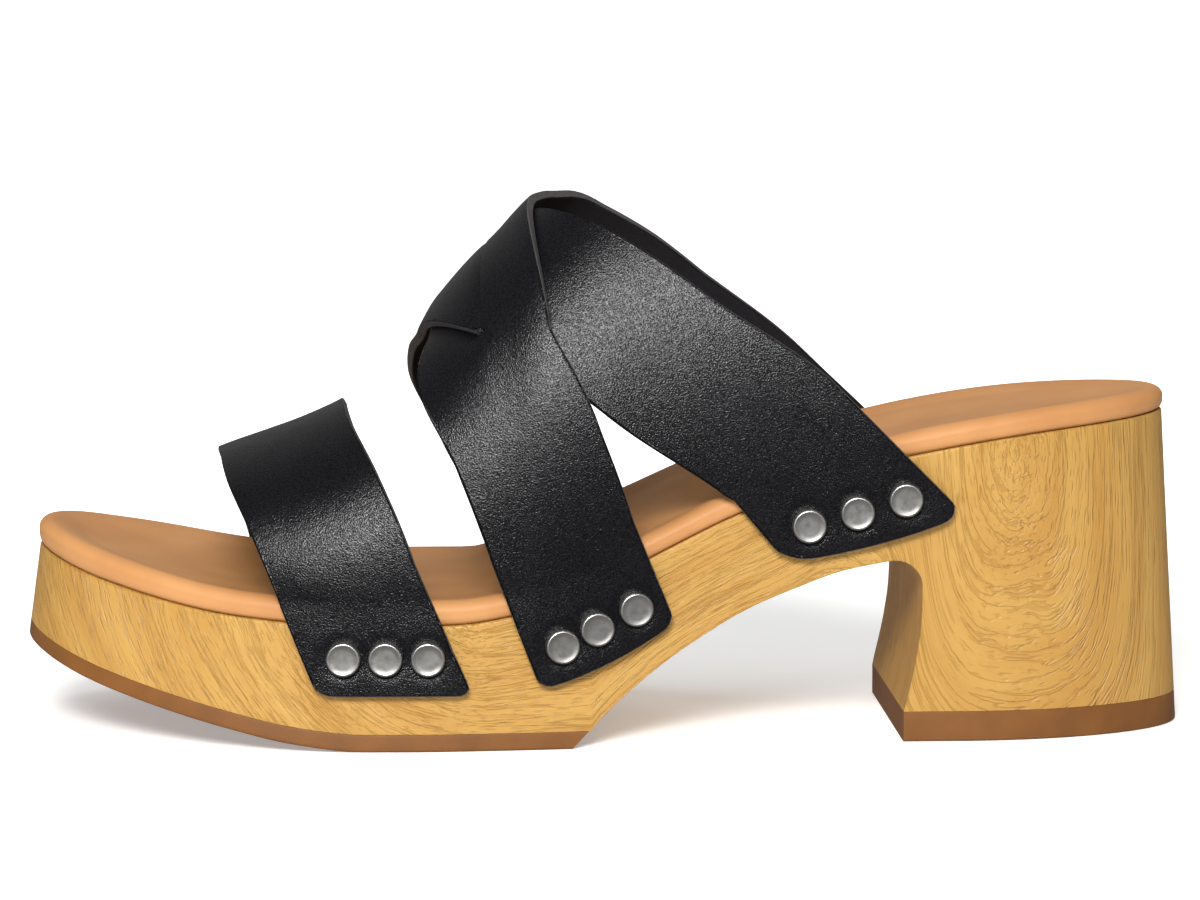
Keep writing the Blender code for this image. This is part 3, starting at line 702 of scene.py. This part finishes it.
def strap_columns(width, places=()):
    """Places across a strap, close together at its rounded corners."""
    turn = np.radians(np.linspace(90, 0, CORNER_STEPS + 1))
    corner = width / 2 - WIDE_CORNER * (1 - np.sin(turn))
    inner = np.linspace(-corner[-1], corner[-1], COLUMNS - 2 * CORNER_STEPS)
    spread = [c for c in inner[1:-1] if all(abs(c - place) > LIP_ROOM for place in places)]
    return np.array(sorted({*corner, *(-corner), *spread, *places}))


def strap_grid(strap, columns):
    """Stations and angles of a strap's rows, from its outer end over the last to its inner end."""
    path = strap["path"]
    start = math.radians(LEG_START)
    centre = np.linspace(start, math.pi - start, OVER_ROWS)
    station = smooth(np.radians(path["around"]), path["station"], centre)
    points = last_point(station, centre)
    forward = np.gradient(points, axis=0)
    rearward = np.cross(forward, last_normal(station, centre))
    rearward = unit(rearward * np.sign(rearward[:, :1]))
    stations, arounds = walk(station[:, None], centre[:, None], rearward[:, None], columns[None, :])
    outer = leg_rows(strap, columns, stations[0], arounds[0], OUTER)
    inner = leg_rows(strap, columns, stations[-1], arounds[-1], INNER)
    stations = np.concatenate([outer[0][::-1], stations, inner[0]])
    arounds = np.concatenate([outer[1][::-1], arounds, inner[1]])
    return stations, arounds


def leg_rows(strap, columns, station, around, side):
    """Rows from where a strap leaves the last, straight down the wall to its cut end."""
    cut = strap[side]
    half = strap["width"] / 2
    start = np.stack([station, last_point(station, around)[:, 2]], axis=1)
    share = ((columns + half) / strap["width"])[:, None]
    end = cut["front"] + (cut["rear"] - cut["front"]) * share
    into = np.maximum(np.abs(columns) - (half - cut["corner"]), 0)
    trim = cut["corner"] - np.sqrt(np.maximum(cut["corner"] ** 2 - into ** 2, 0))
    up = unit(start - end)
    bow = cut["bow"] * 4 * share * (1 - share)
    end = end + up * (trim[:, None] - bow)
    steps = np.linspace(0, 1, LEG_ROWS + 1)[1:, None, None]
    rows = start + (end - start) * steps
    return rows[..., 0], around_at(rows[..., 0], rows[..., 1], side)


def offset_from(points, stations, strap, place):
    """Distance of points from a line along a strap, above 0 behind it and below 0 in front of it."""
    line_stations, line_arounds = (grid[:, 0] for grid in strap_grid(strap, np.array([place])))
    apart = points[..., None, :] - last_point(line_stations, line_arounds)
    distance = np.linalg.norm(apart, axis=-1)
    nearest = np.argmin(distance, axis=-1)
    return np.min(distance, axis=-1) * np.sign(stations - line_stations[nearest])


def stud_places(strap, side):
    """The places and outward directions of the studs along one cut end, on the strap's inner face."""
    cut = strap[side]
    run = cut["rear"] - cut["front"]
    along = unit(run)
    up = np.array([-along[1], along[0]])
    for place in cut["studs"]:
        station, height = cut["front"] + run * place + up * cut["inset"]
        around = around_at(station, height, side)
        yield last_point(station, around), last_normal(station, around)


def leather_relief(strap, points):
    """How far the leather stands out of a smooth sheet: soft creases, and a hollow round each stud."""
    relief = np.zeros(points.shape[:-1])
    along, across = points @ np.array(CREASE_ALONG), points @ np.array(CREASE_ACROSS)
    for number, length in enumerate(CREASE_LENGTHS):
        wave = 2 * math.pi / length
        relief += np.sin(wave * along + number) * np.sin(wave * across)
    relief *= CREASE_DEPTH / len(CREASE_LENGTHS)
    radius = bpy.context.scene.sandal_sizes.stud / MM / 2
    for side in SIDES.values():
        for place, _ in stud_places(strap, side):
            away = np.maximum(np.linalg.norm(points - place, axis=-1) - radius, 0)
            near = np.exp(-(away / STUD_PRESS_REACH) ** 2)
            relief = relief * (1 - near) - STUD_PRESS * near
    return relief


def sheet_faces(rows, count, start=0, slot_column=None, slot_rows=()):
    """Quads of a grid of points, open in one column along some rows."""
    faces = []
    for r in range(rows - 1):
        for c in range(count - 1):
            if c != slot_column or r not in slot_rows:
                a = start + r * count + c
                faces.append((a, a + 1, a + 1 + count, a + count))
    return faces


def add_modifier(thing, name, kind, **settings):
    made = thing.modifiers.new(name, kind)
    for setting, value in settings.items():
        setattr(made, setting, value)


def leather_piece(name, points, faces):
    """A strap: its inner faces thickened outwards, with rounded cut edges."""
    sizes = bpy.context.scene.sandal_sizes
    finishes = [black_grain_leather(), painted_cut_leather_edge(), black_suede_lining()]
    thing = make_object(name, points, faces, finishes)
    bm = bmesh.new()
    bm.from_mesh(thing.data)
    loose = [point for point in bm.verts if not point.link_faces]
    bmesh.ops.delete(bm, geom=loose, context="VERTS")
    bm.normal_update()
    middle = sum((face.calc_center_median() for face in bm.faces), Vector()) / len(bm.faces)
    if sum(face.normal.dot(face.calc_center_median() - middle) for face in bm.faces) < 0:
        bmesh.ops.reverse_faces(bm, faces=bm.faces)
    bm.to_mesh(thing.data)
    bm.free()
    add_modifier(
        thing, "leather", "SOLIDIFY", thickness=sizes.leather, offset=1.0,
        material_offset=finishes.index(black_suede_lining()),
        material_offset_rim=finishes.index(painted_cut_leather_edge()),
    )
    add_modifier(
        thing, "cut edge", "BEVEL", width=sizes.cut_round, segments=CUT_SEGMENTS, limit_method="ANGLE",
        angle_limit=math.radians(CUT_ANGLE), use_clamp_overlap=False, harden_normals=True,
        miter_outer="MITER_ARC",
    )
    return thing


def wire(tree, inputs, sockets):
    """Set a node's sockets to their values, or link them to other nodes' outputs."""
    for name, value in sockets.items():
        if isinstance(value, bpy.types.NodeSocket):
            tree.links.new(value, inputs[name])
        else:
            inputs[name].default_value = value


def node(tree, kind, sockets, stops=(), **settings):
    """Add a node with its settings, its sockets and, on a ramp, its grey stops. Returns its outputs."""
    made = tree.nodes.new("ShaderNode" + kind)
    for name, value in settings.items():
        setattr(made, name, value)
    for place, value in stops:
        made.color_ramp.elements.new(place).color = (value, value, value, 1.0)
    if stops:
        made.color_ramp.elements.remove(made.color_ramp.elements[0])
        made.color_ramp.elements.remove(made.color_ramp.elements[-1])
    wire(tree, made.inputs, sockets)
    return made.outputs


def finish(add_nodes):
    """Turn a function that adds a finish's nodes into one that gives its material, made at the first call.

    The function's name is the material's. It gets what adds a node, and returns the shader's sockets.
    """
    name = add_nodes.__name__.replace("_", " ")

    def material():
        if name not in bpy.data.materials:
            made = bpy.data.materials.new(name)
            made.use_nodes = True
            tree = made.node_tree
            sockets = add_nodes(partial(node, tree), bpy.context.scene.sandal_colours)
            wire(tree, tree.nodes["Principled BSDF"].inputs, sockets)
        return bpy.data.materials[name]

    return material


def rgba(values):
    return (*values, 1.0)


def millimetres(add):
    """Places on the sandal in millimetres."""
    place = add("TexCoord", {})["Object"]
    return add("VectorMath", {0: place, "Scale": 1 / MM}, operation="SCALE")["Vector"]


def stretched(add, places, pattern, **sockets):
    """Noise that is drawn out along the grain, sized in millimetres across and along it."""
    across, along = pattern
    scales = (1 / across, 1 / along, 1.0)
    scaled = add("VectorMath", {0: places, 1: scales}, operation="MULTIPLY")["Vector"]
    return add("TexNoise", {"Vector": scaled, "Scale": 1.0, **sockets})[0]


def toned(add, tone, noise, low, high):
    """A colour that a noise makes darker and lighter, between two shares of it."""
    level = add("MapRange", {"Value": noise, **NOISE_SPAN, "To Min": low, "To Max": high})[0]
    return add("VectorMath", {0: tuple(tone), "Scale": level}, operation="SCALE")["Vector"]


@finish
def moulded_wood_grain(add, colours):
    """Polyurethane moulded and stained like oak: pale ground, fine darker lines pressed in, a satin coat."""
    places = add("Attribute", {}, attribute_name="grain")["Vector"]
    drift = stretched(add, places, WOOD_DRIFT, Detail=2.0)
    aside = add("MapRange", {
        "Value": drift, "From Min": 0.25, "From Max": 0.75, "To Min": -DRIFT_REACH, "To Max": DRIFT_REACH,
    })[0]
    offset = add("CombineXYZ", {"X": aside})[0]
    wandering = add("VectorMath", {0: places, 1: offset}, operation="ADD")["Vector"]
    line_noise = stretched(add, wandering, WOOD_LINE, Detail=3.0, Roughness=0.6)
    pore_noise = stretched(add, wandering, WOOD_PORE, Detail=1.0)
    band_noise = stretched(add, wandering, WOOD_BAND, Detail=4.0, Roughness=0.6)
    # A line runs wherever its noise crosses the middle level
    from_level = add("Math", {0: line_noise, 1: 0.5}, operation="SUBTRACT")[0]
    off_level = add("Math", {0: from_level}, operation="ABSOLUTE")[0]
    line = add("ValToRGB", {"Fac": off_level}, stops=((0.0, 1.0), (0.006, 0.8), (0.02, 0.0)))["Color"]
    pore = add("ValToRGB", {"Fac": pore_noise}, stops=((0.56, 0.0), (0.72, 1.0)))["Color"]
    tone = add("ValToRGB", {"Fac": band_noise}, stops=((0.36, 0.0), (0.66, 1.0)))["Color"]
    ground = add("Mix", {
        SHARE: tone, FIRST: rgba(colours.wood), SECOND: rgba(colours.wood_shade),
    }, data_type="RGBA")[MIXED]
    for mark, strength in ((line, 0.24), (pore, 0.2)):
        share = add("Math", {0: mark, 1: strength}, operation="MULTIPLY")[0]
        ground = add("Mix", {
            SHARE: share, FIRST: ground, SECOND: rgba(colours.wood_line),
        }, data_type="RGBA")[MIXED]
    pressed = add("Math", {0: line, 1: pore}, operation="ADD")[0]
    relief = add("Bump", {"Strength": 0.6, "Distance": 0.32 * MM, "Height": pressed}, invert=True)
    return {"Base Color": ground, "Roughness": 0.44, "IOR": 1.43, "Normal": relief["Normal"]}


@finish
def moulded_caramel_rubber(add, colours):
    """Crepe rubber, moulded: an even brown with a soft dull shine and faint cloudiness."""
    places = millimetres(add)
    cloud = add("TexNoise", {"Vector": places, "Scale": 1 / RUBBER_CLOUD, "Detail": 5.0})[0]
    speck = add("TexNoise", {"Vector": places, "Scale": 1 / RUBBER_SPECK, "Detail": 2.0})[0]
    relief = add("Bump", {"Strength": 0.25, "Distance": 0.08 * MM, "Height": speck})["Normal"]
    tint = toned(add, colours.rubber, cloud, 0.86, 1.1)
    return {"Base Color": tint, "Roughness": 0.55, "IOR": 1.45, "Normal": relief}


@finish
def tan_footbed_leather(add, colours):
    """Tan synthetic leather over foam: matte and even, with a fine pebble and cloudy darker places."""
    places = millimetres(add)
    cloud = add("TexNoise", {"Vector": places, "Scale": 1 / FOOTBED_CLOUD, "Detail": 4.0})[0]
    share = add("ValToRGB", {"Fac": cloud}, stops=((0.35, 0.0), (0.68, 1.0)))["Color"]
    tint = add("Mix", {
        SHARE: share, FIRST: rgba(colours.insole), SECOND: rgba(colours.insole_shade),
    }, data_type="RGBA")[MIXED]
    pebble = add("TexVoronoi", {"Vector": places, "Scale": 1 / FOOTBED_PEBBLE}, feature="SMOOTH_F1")[0]
    relief = add("Bump", {"Strength": 0.22, "Distance": 0.1 * MM, "Height": pebble})["Normal"]
    return {"Base Color": tint, "Roughness": 0.58, "IOR": 1.42, "Normal": relief}


@finish
def black_grain_leather(add, colours):
    """Dyed and plated cowhide: deep black, with a broad soft sheen that its fine grain breaks up."""
    places = millimetres(add)
    cloud = add("TexNoise", {"Vector": places, "Scale": 1 / LEATHER_CLOUD, "Detail": 3.0})[0]
    grain = add("TexNoise", {"Vector": places, "Scale": 1 / LEATHER_GRAIN, "Detail": 1.0})[0]
    relief = add("Bump", {"Strength": 1.0, "Distance": 0.11 * MM, "Height": grain})["Normal"]
    # The grain's valleys shine less than its hills
    shine = add("MapRange", {
        "Value": grain, "From Min": 0.36, "From Max": 0.64, "To Min": 0.2, "To Max": 0.8,
    })[0]
    tint = toned(add, colours.leather, cloud, 0.8, 1.2)
    return {
        "Base Color": tint, "Roughness": 0.29, "IOR": 1.38, "Specular IOR Level": shine, "Normal": relief,
    }


@finish
def black_suede_lining(add, colours):
    """Black pigskin suede: a matte, slightly fuzzy flesh side."""
    nap = add("TexNoise", {"Vector": millimetres(add), "Scale": 1 / SUEDE_NAP, "Detail": 3.0})[0]
    return {"Base Color": toned(add, colours.lining, nap, 0.6, 1.4), "Roughness": 0.95, "IOR": 1.35}


@finish
def painted_cut_leather_edge(add, colours):
    """Cut leather with painted edges: dark grey, dry and slightly fibrous."""
    fibre = add("TexNoise", {"Vector": millimetres(add), "Scale": 1 / EDGE_FIBRE, "Detail": 3.0})[0]
    relief = add("Bump", {"Strength": 0.3, "Distance": 0.1 * MM, "Height": fibre})["Normal"]
    tint = toned(add, colours.cut_edge, fibre, 0.7, 1.35)
    return {"Base Color": tint, "Roughness": 0.6, "IOR": 1.5, "Normal": relief}


@finish
def antique_pewter(add, colours):
    """Cast zinc, plated and darkened: a dull grey metal, mottled on its face."""
    places = millimetres(add)
    cloud = add("TexNoise", {
        "Vector": places, "Scale": 1 / PEWTER_CLOUD, "Detail": 5.0, "Roughness": 0.65,
    })[0]
    share = add("ValToRGB", {"Fac": cloud}, stops=((0.4, 0.0), (0.72, 0.3)))["Color"]
    tint = add("Mix", {
        SHARE: share, FIRST: rgba(colours.pewter), SECOND: rgba(colours.tarnish),
    }, data_type="RGBA")[MIXED]
    rough = add("MapRange", {"Value": cloud, **NOISE_SPAN, "To Min": 0.3, "To Max": 0.48})[0]
    speck = add("TexNoise", {"Vector": places, "Scale": 1 / PEWTER_SPECK, "Detail": 2.0})[0]
    relief = add("Bump", {"Strength": 0.2, "Distance": 0.04 * MM, "Height": speck})["Normal"]
    return {"Base Color": tint, "Metallic": 1.0, "Roughness": rough, "Normal": relief}


@finish
def seamless_studio_paper(add, colours):
    """Seamless white paper: matte, with a painted glow that lifts its shadows near the sandal and grows
    behind it so that it fades out to white.
    """
    places = millimetres(add)
    fibre = add("TexNoise", {"Vector": places, "Scale": 1 / PAPER_FIBRE, "Detail": 2.0})[0]
    depth = add("SeparateXYZ", {0: places})["Y"]
    # painted light: emission in place of lamp light, faint near the sandal and full far behind it
    glow = add("MapRange", {
        "Value": depth, "From Min": GLOW_SPAN[0], "From Max": GLOW_SPAN[1], "To Min": NEAR_GLOW,
        "To Max": FAR_GLOW,
    }, interpolation_type="SMOOTHSTEP")[0]
    return {
        "Base Color": toned(add, colours.floor, fibre, 0.995, 1.0), "Roughness": 0.9, "IOR": 1.5,
        "Emission Color": WHITE, "Emission Strength": glow,
    }


class SANDAL_OT_platform(bpy.types.Operator):
    """Add the wood-look platform and heel block"""

    bl_idname = "sandal.platform"
    bl_label = "Platform"

    def execute(self, context):
        radius = context.scene.sandal_sizes.wood_round / MM
        rings, shares, wall_count, across = block_rings(*platform_lines(), (JOINT_ROUND, radius))
        rows, count = rings.shape[:2]
        faces = ring_faces(rows, count)
        thing = make_object("platform_block", rings.reshape(-1, 3), faces, [moulded_wood_grain()])
        walls, under = grain_places(rings, shares, wall_count, across)
        store_grain(thing.data, faces, walls, under, count, 2 * wall_count + across - 1)
        clean_mesh(thing.data, SOLE_SHARP)
        place_piece(thing, "wood", "platform")
        return {"FINISHED"}


class SANDAL_OT_treads(bpy.types.Operator):
    """Add the forefoot outsole and the heel tip"""

    bl_idname = "sandal.treads"
    bl_label = "Treads"

    def execute(self, context):
        radius = context.scene.sandal_sizes.rubber_round / MM
        share = toe_shares(OUTSOLE_END, OUTSOLE_LINES)
        bottom = view_points(*tread_line(share, 0.0), 0.0)
        top = view_points(*tread_line(share, OUTSOLE_THICKNESS + GAP), 0.0)
        bottom[-1] = (OUTSOLE_END, 0.0, BREAST_SKEW)
        top[-1] = (OUTSOLE_END + OUTSOLE_END_SLOPE, OUTSOLE_THICKNESS + GAP, BREAST_SKEW)
        self.add("outsole_tread", bottom, top, radius, (False, True), "forefoot_outsole")
        way = np.sin(np.linspace(0, math.pi / 2, TIP_LINES + 1))
        front = BREAST_LINE["station"][0]
        lines = [heel_line(front, height, way) for height in (0.0, HEEL_TIP_THICKNESS + GAP)]
        self.add("heel_tip_tread", *lines, radius, (True, False), "heel_tip")
        return {"FINISHED"}

    def add(self, name, bottom, top, radius, caps, solid):
        rings = block_rings(bottom, top, (radius, JOINT_ROUND), wall_steps=TREAD_STEPS)[0]
        faces = ring_faces(*rings.shape[:2], *caps)
        thing = make_object(name, rings.reshape(-1, 3), faces, [moulded_caramel_rubber()])
        clean_mesh(thing.data, SOLE_SHARP)
        place_piece(thing, "rubber", solid)


class SANDAL_OT_insole(bpy.types.Operator):
    """Add the padded insole with its rolled rim and dished top"""

    bl_idname = "sandal.insole"
    bl_label = "Insole"

    def execute(self, context):
        share = (1 - np.cos(np.linspace(0, math.pi, INSOLE_STEPS + 1))) / 2
        station = plan_station(share, "top")
        there = np.stack([station, edge(station, OUTER, "top")], axis=1)
        back = np.stack([station, edge(station, INNER, "top")], axis=1)[::-1]
        outline = np.concatenate([there, back[1:-1]])
        rows = np.arange(len(INSOLE_SECTION["inset"]))
        place = np.linspace(0, rows[-1], INSOLE_TURNS)
        insets, heights = (smooth(rows, INSOLE_SECTION[column], place) for column in ("inset", "height"))
        rings = []
        for inset, height in zip(insets, heights):
            ring = inset_loop(outline, inset)
            swell = 1 + TOE_SWELL * ease(-ring[:, 0], *TOE_SWELL_SPAN)
            rings.append(np.column_stack([ring, top_height(ring[:, 0], ring[:, 1]) + height * swell]))
        points = np.concatenate(rings)
        faces = ring_faces(INSOLE_TURNS, len(outline))
        dish = INSOLE_SECTION["height"][-1] - INSOLE_DISH
        top_start = (INSOLE_TURNS - 1) * len(outline)
        for ring, drop, start in ((rings[-1], dish, top_start), (rings[0], 0.0, 0)):
            inner, more = self.fill(ring, drop, start, len(points))
            points = np.concatenate([points, inner])
            faces += more
        thing = make_object("insole_pad", points, faces, [tan_footbed_leather()])
        clean_mesh(thing.data, INSOLE_SHARP)
        place_piece(thing, "insole", "insole")
        return {"FINISHED"}

    def fill(self, ring, drop, start, next_point):
        """Points and faces that close a ring with rows across it, sunk along the middle."""
        half = len(ring) // 2
        across = np.linspace(0, 1, INSOLE_CROSSINGS + 2)[1:-1]
        points, rows = [], [[start] * (INSOLE_CROSSINGS + 2)]
        for i in range(1, half):
            first, last = ring[i], ring[-i]
            row = first + (last - first) * across[:, None]
            fade = ease(min(i, half - i) / half, 0.0, DISH_FADE)
            lift = first[2] - top_height(first[0], first[1])
            row[:, 2] = top_height(row[:, 0], row[:, 1]) + lift
            row[:, 2] -= drop * fade * np.sin(math.pi * across) ** DISH_POWER
            points.append(row)
            inner = [next_point + (i - 1) * INSOLE_CROSSINGS + k for k in range(INSOLE_CROSSINGS)]
            rows.append([start + i, *inner, start + len(ring) - i])
        rows.append([start + half] * (INSOLE_CROSSINGS + 2))
        faces = []
        for row, after in zip(rows, rows[1:]):
            for k in range(INSOLE_CROSSINGS + 1):
                corners = dict.fromkeys((row[k], row[k + 1], after[k + 1], after[k]))
                if len(corners) > 2:
                    faces.append(tuple(corners))
        return np.concatenate(points), faces


class SANDAL_OT_toe_strap(bpy.types.Operator):
    """Add the strap over the toes"""

    bl_idname = "sandal.toe_strap"
    bl_label = "Toe strap"

    def execute(self, context):
        stations, arounds = strap_grid(TOE_STRAP, strap_columns(TOE_STRAP["width"]))
        points = last_point(stations, arounds)
        points += last_normal(stations, arounds) * leather_relief(TOE_STRAP, points)[..., None]
        faces = sheet_faces(*points.shape[:2])
        thing = leather_piece("toe_strap_leather", points.reshape(-1, 3), faces)
        place_piece(thing, "leather", "toe_strap")
        return {"FINISHED"}


class SANDAL_OT_cross_straps(bpy.types.Operator):
    """Add the crossed instep straps, one passing through a slit in the other"""

    bl_idname = "sandal.cross_straps"
    bl_label = "Crossed straps"

    def execute(self, context):
        layer = context.scene.sandal_sizes.leather / MM + LAYER_CLEARANCE
        over, faces = self.over_sheet(layer)
        through, more = self.through_sheet(layer, len(over))
        thing = leather_piece("cross_straps_leather", np.concatenate([over, through]), faces + more)
        place_piece(thing, "leather", "cross_straps")
        return {"FINISHED"}

    def over_sheet(self, layer):
        """Points and faces of the slit strap, whose rear half lies over the passing strap."""
        lips = (SLIT_PLACE - SLIT_WIDTH / 2, SLIT_PLACE + SLIT_WIDTH / 2)
        columns = strap_columns(OVER_STRAP["width"], lips)
        slot = int(np.argmin(np.abs(columns - lips[0])))
        stations, arounds = strap_grid(OVER_STRAP, columns)
        points = last_point(stations, arounds)
        behind = offset_from(points, stations, THROUGH_STRAP, 0.0)
        away = np.abs(behind)
        place = columns / columns[-1]
        reach = (r + f * np.maximum(place, 0) for r, f in zip(SLIT_REACH, SLIT_FAN))
        lift = layer * (1 - np.where(behind < 0, ease(away, *SLIT_FADE), ease(away, *reach)))
        inside = away[:, slot] < np.where(behind[:, slot] < 0, SLIT_END, SLIT_REACH[1])
        slit_rows = {r for r in range(len(lift) - 1) if inside[r] and inside[r + 1]}
        turn = np.arctan2(np.maximum(away - SLIT_END, 0), np.maximum(SLIT_PLACE - columns, 0))
        front = np.where(behind < 0, ease(np.degrees(turn), 0.0, SLIT_TURN), 0)
        lift[:, :slot + 1] *= front[:, :slot + 1]
        lift += leather_relief(OVER_STRAP, points)
        points += last_normal(stations, arounds) * lift[..., None]
        # The lips meet in one point at each end of the slit
        lip_ends = [row * len(columns) + slot for row in (min(slit_rows), max(slit_rows) + 1)]
        joined = {end + 1: end for end in lip_ends}
        faces = sheet_faces(*points.shape[:2], 0, slot, slit_rows)
        faces = [tuple(dict.fromkeys(joined.get(corner, corner) for corner in face)) for face in faces]
        return points.reshape(-1, 3), faces

    def through_sheet(self, layer, start):
        """Points and faces of the passing strap, which rises through the slit towards the toe."""
        stations, arounds = strap_grid(THROUGH_STRAP, strap_columns(THROUGH_STRAP["width"]))
        points = last_point(stations, arounds)
        ahead = -offset_from(points, stations, OVER_STRAP, SLIT_PLACE)
        lift = layer * ease(ahead, *SLIT_PASSAGE) * (1 - ease(ahead, *FRONT_LAP))
        lift += leather_relief(THROUGH_STRAP, points)
        points += last_normal(stations, arounds) * lift[..., None]
        return points.reshape(-1, 3), sheet_faces(*points.shape[:2], start)


class SANDAL_OT_studs(bpy.types.Operator):
    """Add the studs along the straps' cut ends"""

    bl_idname = "sandal.studs"
    bl_label = "Studs"

    def execute(self, context):
        sizes = context.scene.sandal_sizes
        points, faces = self.head(sizes.stud / MM / 2)
        for strap_name, strap in STRAPS.items():
            for side_name, side in SIDES.items():
                for number, (place, normal) in enumerate(stud_places(strap, side), 1):
                    turned = np.array(Vector(normal).to_track_quat("Z", "Y").to_matrix())
                    placed = points @ turned.T + place + normal * (sizes.leather / MM + GAP)
                    solid = f"stud_{strap_name}_{side_name}_{number}"
                    thing = make_object(solid + "_head", placed, faces, [antique_pewter()])
                    clean_mesh(thing.data, STUD_SHARP)
                    place_piece(thing, "pewter", solid)
        return {"FINISHED"}

    def head(self, radius):
        """Points and faces of a stud's head, turned from its profile."""
        turn = np.linspace(0, 2 * math.pi, STUD_SEGMENTS, endpoint=False)
        profile = list(zip(STUD_PROFILE["radius"] * radius, STUD_PROFILE["height"]))
        points = [(r * math.cos(a), r * math.sin(a), h) for r, h in profile[1:] for a in turn]
        faces = ring_faces(len(profile) - 1, STUD_SEGMENTS, last_cap=True)
        faces += [(len(points), (c + 1) % STUD_SEGMENTS, c) for c in range(STUD_SEGMENTS)]
        return np.array([*points, (0.0, 0.0, profile[0][1])]), faces


class SANDAL_OT_stage(bpy.types.Operator):
    """Add the studio floor, backdrop, lights and the photograph's camera"""

    bl_idname = "sandal.stage"
    bl_label = "Stage"

    def execute(self, context):
        scene = context.scene
        self.add_paper()
        scene.world = bpy.data.worlds.new("soft studio")
        scene.world.use_nodes = True
        room = scene.world.node_tree.nodes["Background"].inputs
        room["Color"].default_value = WHITE
        room["Strength"].default_value = ROOM_LIGHT
        scene.view_settings.view_transform = "Standard"
        for light in LIGHTS:
            self.add_light(*light)
        self.add_camera(scene)
        return {"FINISHED"}

    def add_paper(self):
        """A paper floor, and a backdrop that curves up behind it and casts no light on the sandal."""
        turn = np.linspace(0, math.pi / 2, BEND_STEPS + 1)
        rise = [(PAPER_BACK + PAPER_BEND * math.sin(a), PAPER_BEND * (1 - math.cos(a))) for a in turn]
        floor = self.add_sheet("studio_floor", [(PAPER_FRONT, 0.0), (PAPER_BACK, 0.0)])
        backdrop = self.add_sheet("studio_backdrop", [*rise, (rise[-1][0], PAPER_TOP)])
        floor.visible_glossy = backdrop.visible_glossy = backdrop.visible_diffuse = False

    def add_sheet(self, name, curve):
        points = [(x, y, z) for y, z in curve for x in (-PAPER_HALF, PAPER_HALF)]
        faces = [(2 * i, 2 * i + 1, 2 * i + 3, 2 * i + 2) for i in range(len(curve) - 1)]
        sheet = make_object(name, points, faces, [seamless_studio_paper()])
        return sheet

    def add_light(self, name, place, size, power, glossy):
        light = bpy.data.lights.new(name, "AREA")
        light.shape = "RECTANGLE"
        light.size, light.size_y = size
        light.energy = power
        light.spread = math.radians(LIGHT_SPREAD)
        thing = bpy.data.objects.new(name, light)
        thing.location = place
        thing.visible_glossy = glossy
        thing.rotation_euler = (Vector(LIGHT_AIM) - Vector(place)).to_track_quat("-Z", "Y").to_euler()
        bpy.context.scene.collection.objects.link(thing)

    def add_camera(self, scene):
        camera = bpy.data.cameras.new("photograph")
        camera.sensor_width = SENSOR
        camera.lens = FOCAL_PIXELS / IMAGE_WIDTH * SENSOR
        camera.clip_start, camera.clip_end = CAMERA_CLIP
        thing = bpy.data.objects.new("photograph", camera)
        pitch = math.radians(CAMERA_PITCH)
        target = Vector((np.array(CAMERA_TARGET) + shift()) * MM)
        back = Vector((0.0, -math.cos(pitch), math.sin(pitch)))
        thing.location = target + back * CAMERA_DISTANCE * MM
        thing.rotation_euler = (-back).to_track_quat("-Z", "Y").to_euler()
        scene.collection.objects.link(thing)
        scene.camera = thing


STEPS = (
    SANDAL_OT_platform, SANDAL_OT_treads, SANDAL_OT_insole, SANDAL_OT_toe_strap, SANDAL_OT_cross_straps,
    SANDAL_OT_studs, SANDAL_OT_stage,
)


class SANDAL_PT_sidebar(bpy.types.Panel):
    """Sizes, colours and pieces of the sandal"""

    bl_idname = "SANDAL_PT_sidebar"
    bl_label = "Platform sandal"
    bl_space_type = "VIEW_3D"
    bl_region_type = "UI"
    bl_category = "Sandal"

    def draw(self, context):
        for group in (context.scene.sandal_sizes, context.scene.sandal_colours):
            for name in group.__annotations__:
                self.layout.prop(group, name)
        for step in STEPS:
            self.layout.operator(step.bl_idname)


CLASSES = (SandalSizes, SandalColours, *STEPS, SANDAL_PT_sidebar)


def register():
    for cls in CLASSES:
        bpy.utils.register_class(cls)
    bpy.types.Scene.sandal_sizes = PointerProperty(type=SandalSizes)
    bpy.types.Scene.sandal_colours = PointerProperty(type=SandalColours)


def unregister():
    del bpy.types.Scene.sandal_colours
    del bpy.types.Scene.sandal_sizes
    for cls in reversed(CLASSES):
        bpy.utils.unregister_class(cls)


def main():
    register()
    for step in STEPS:
        getattr(bpy.ops.sandal, step.bl_idname.split(".")[1])()


if __name__ == "__main__":
    main()
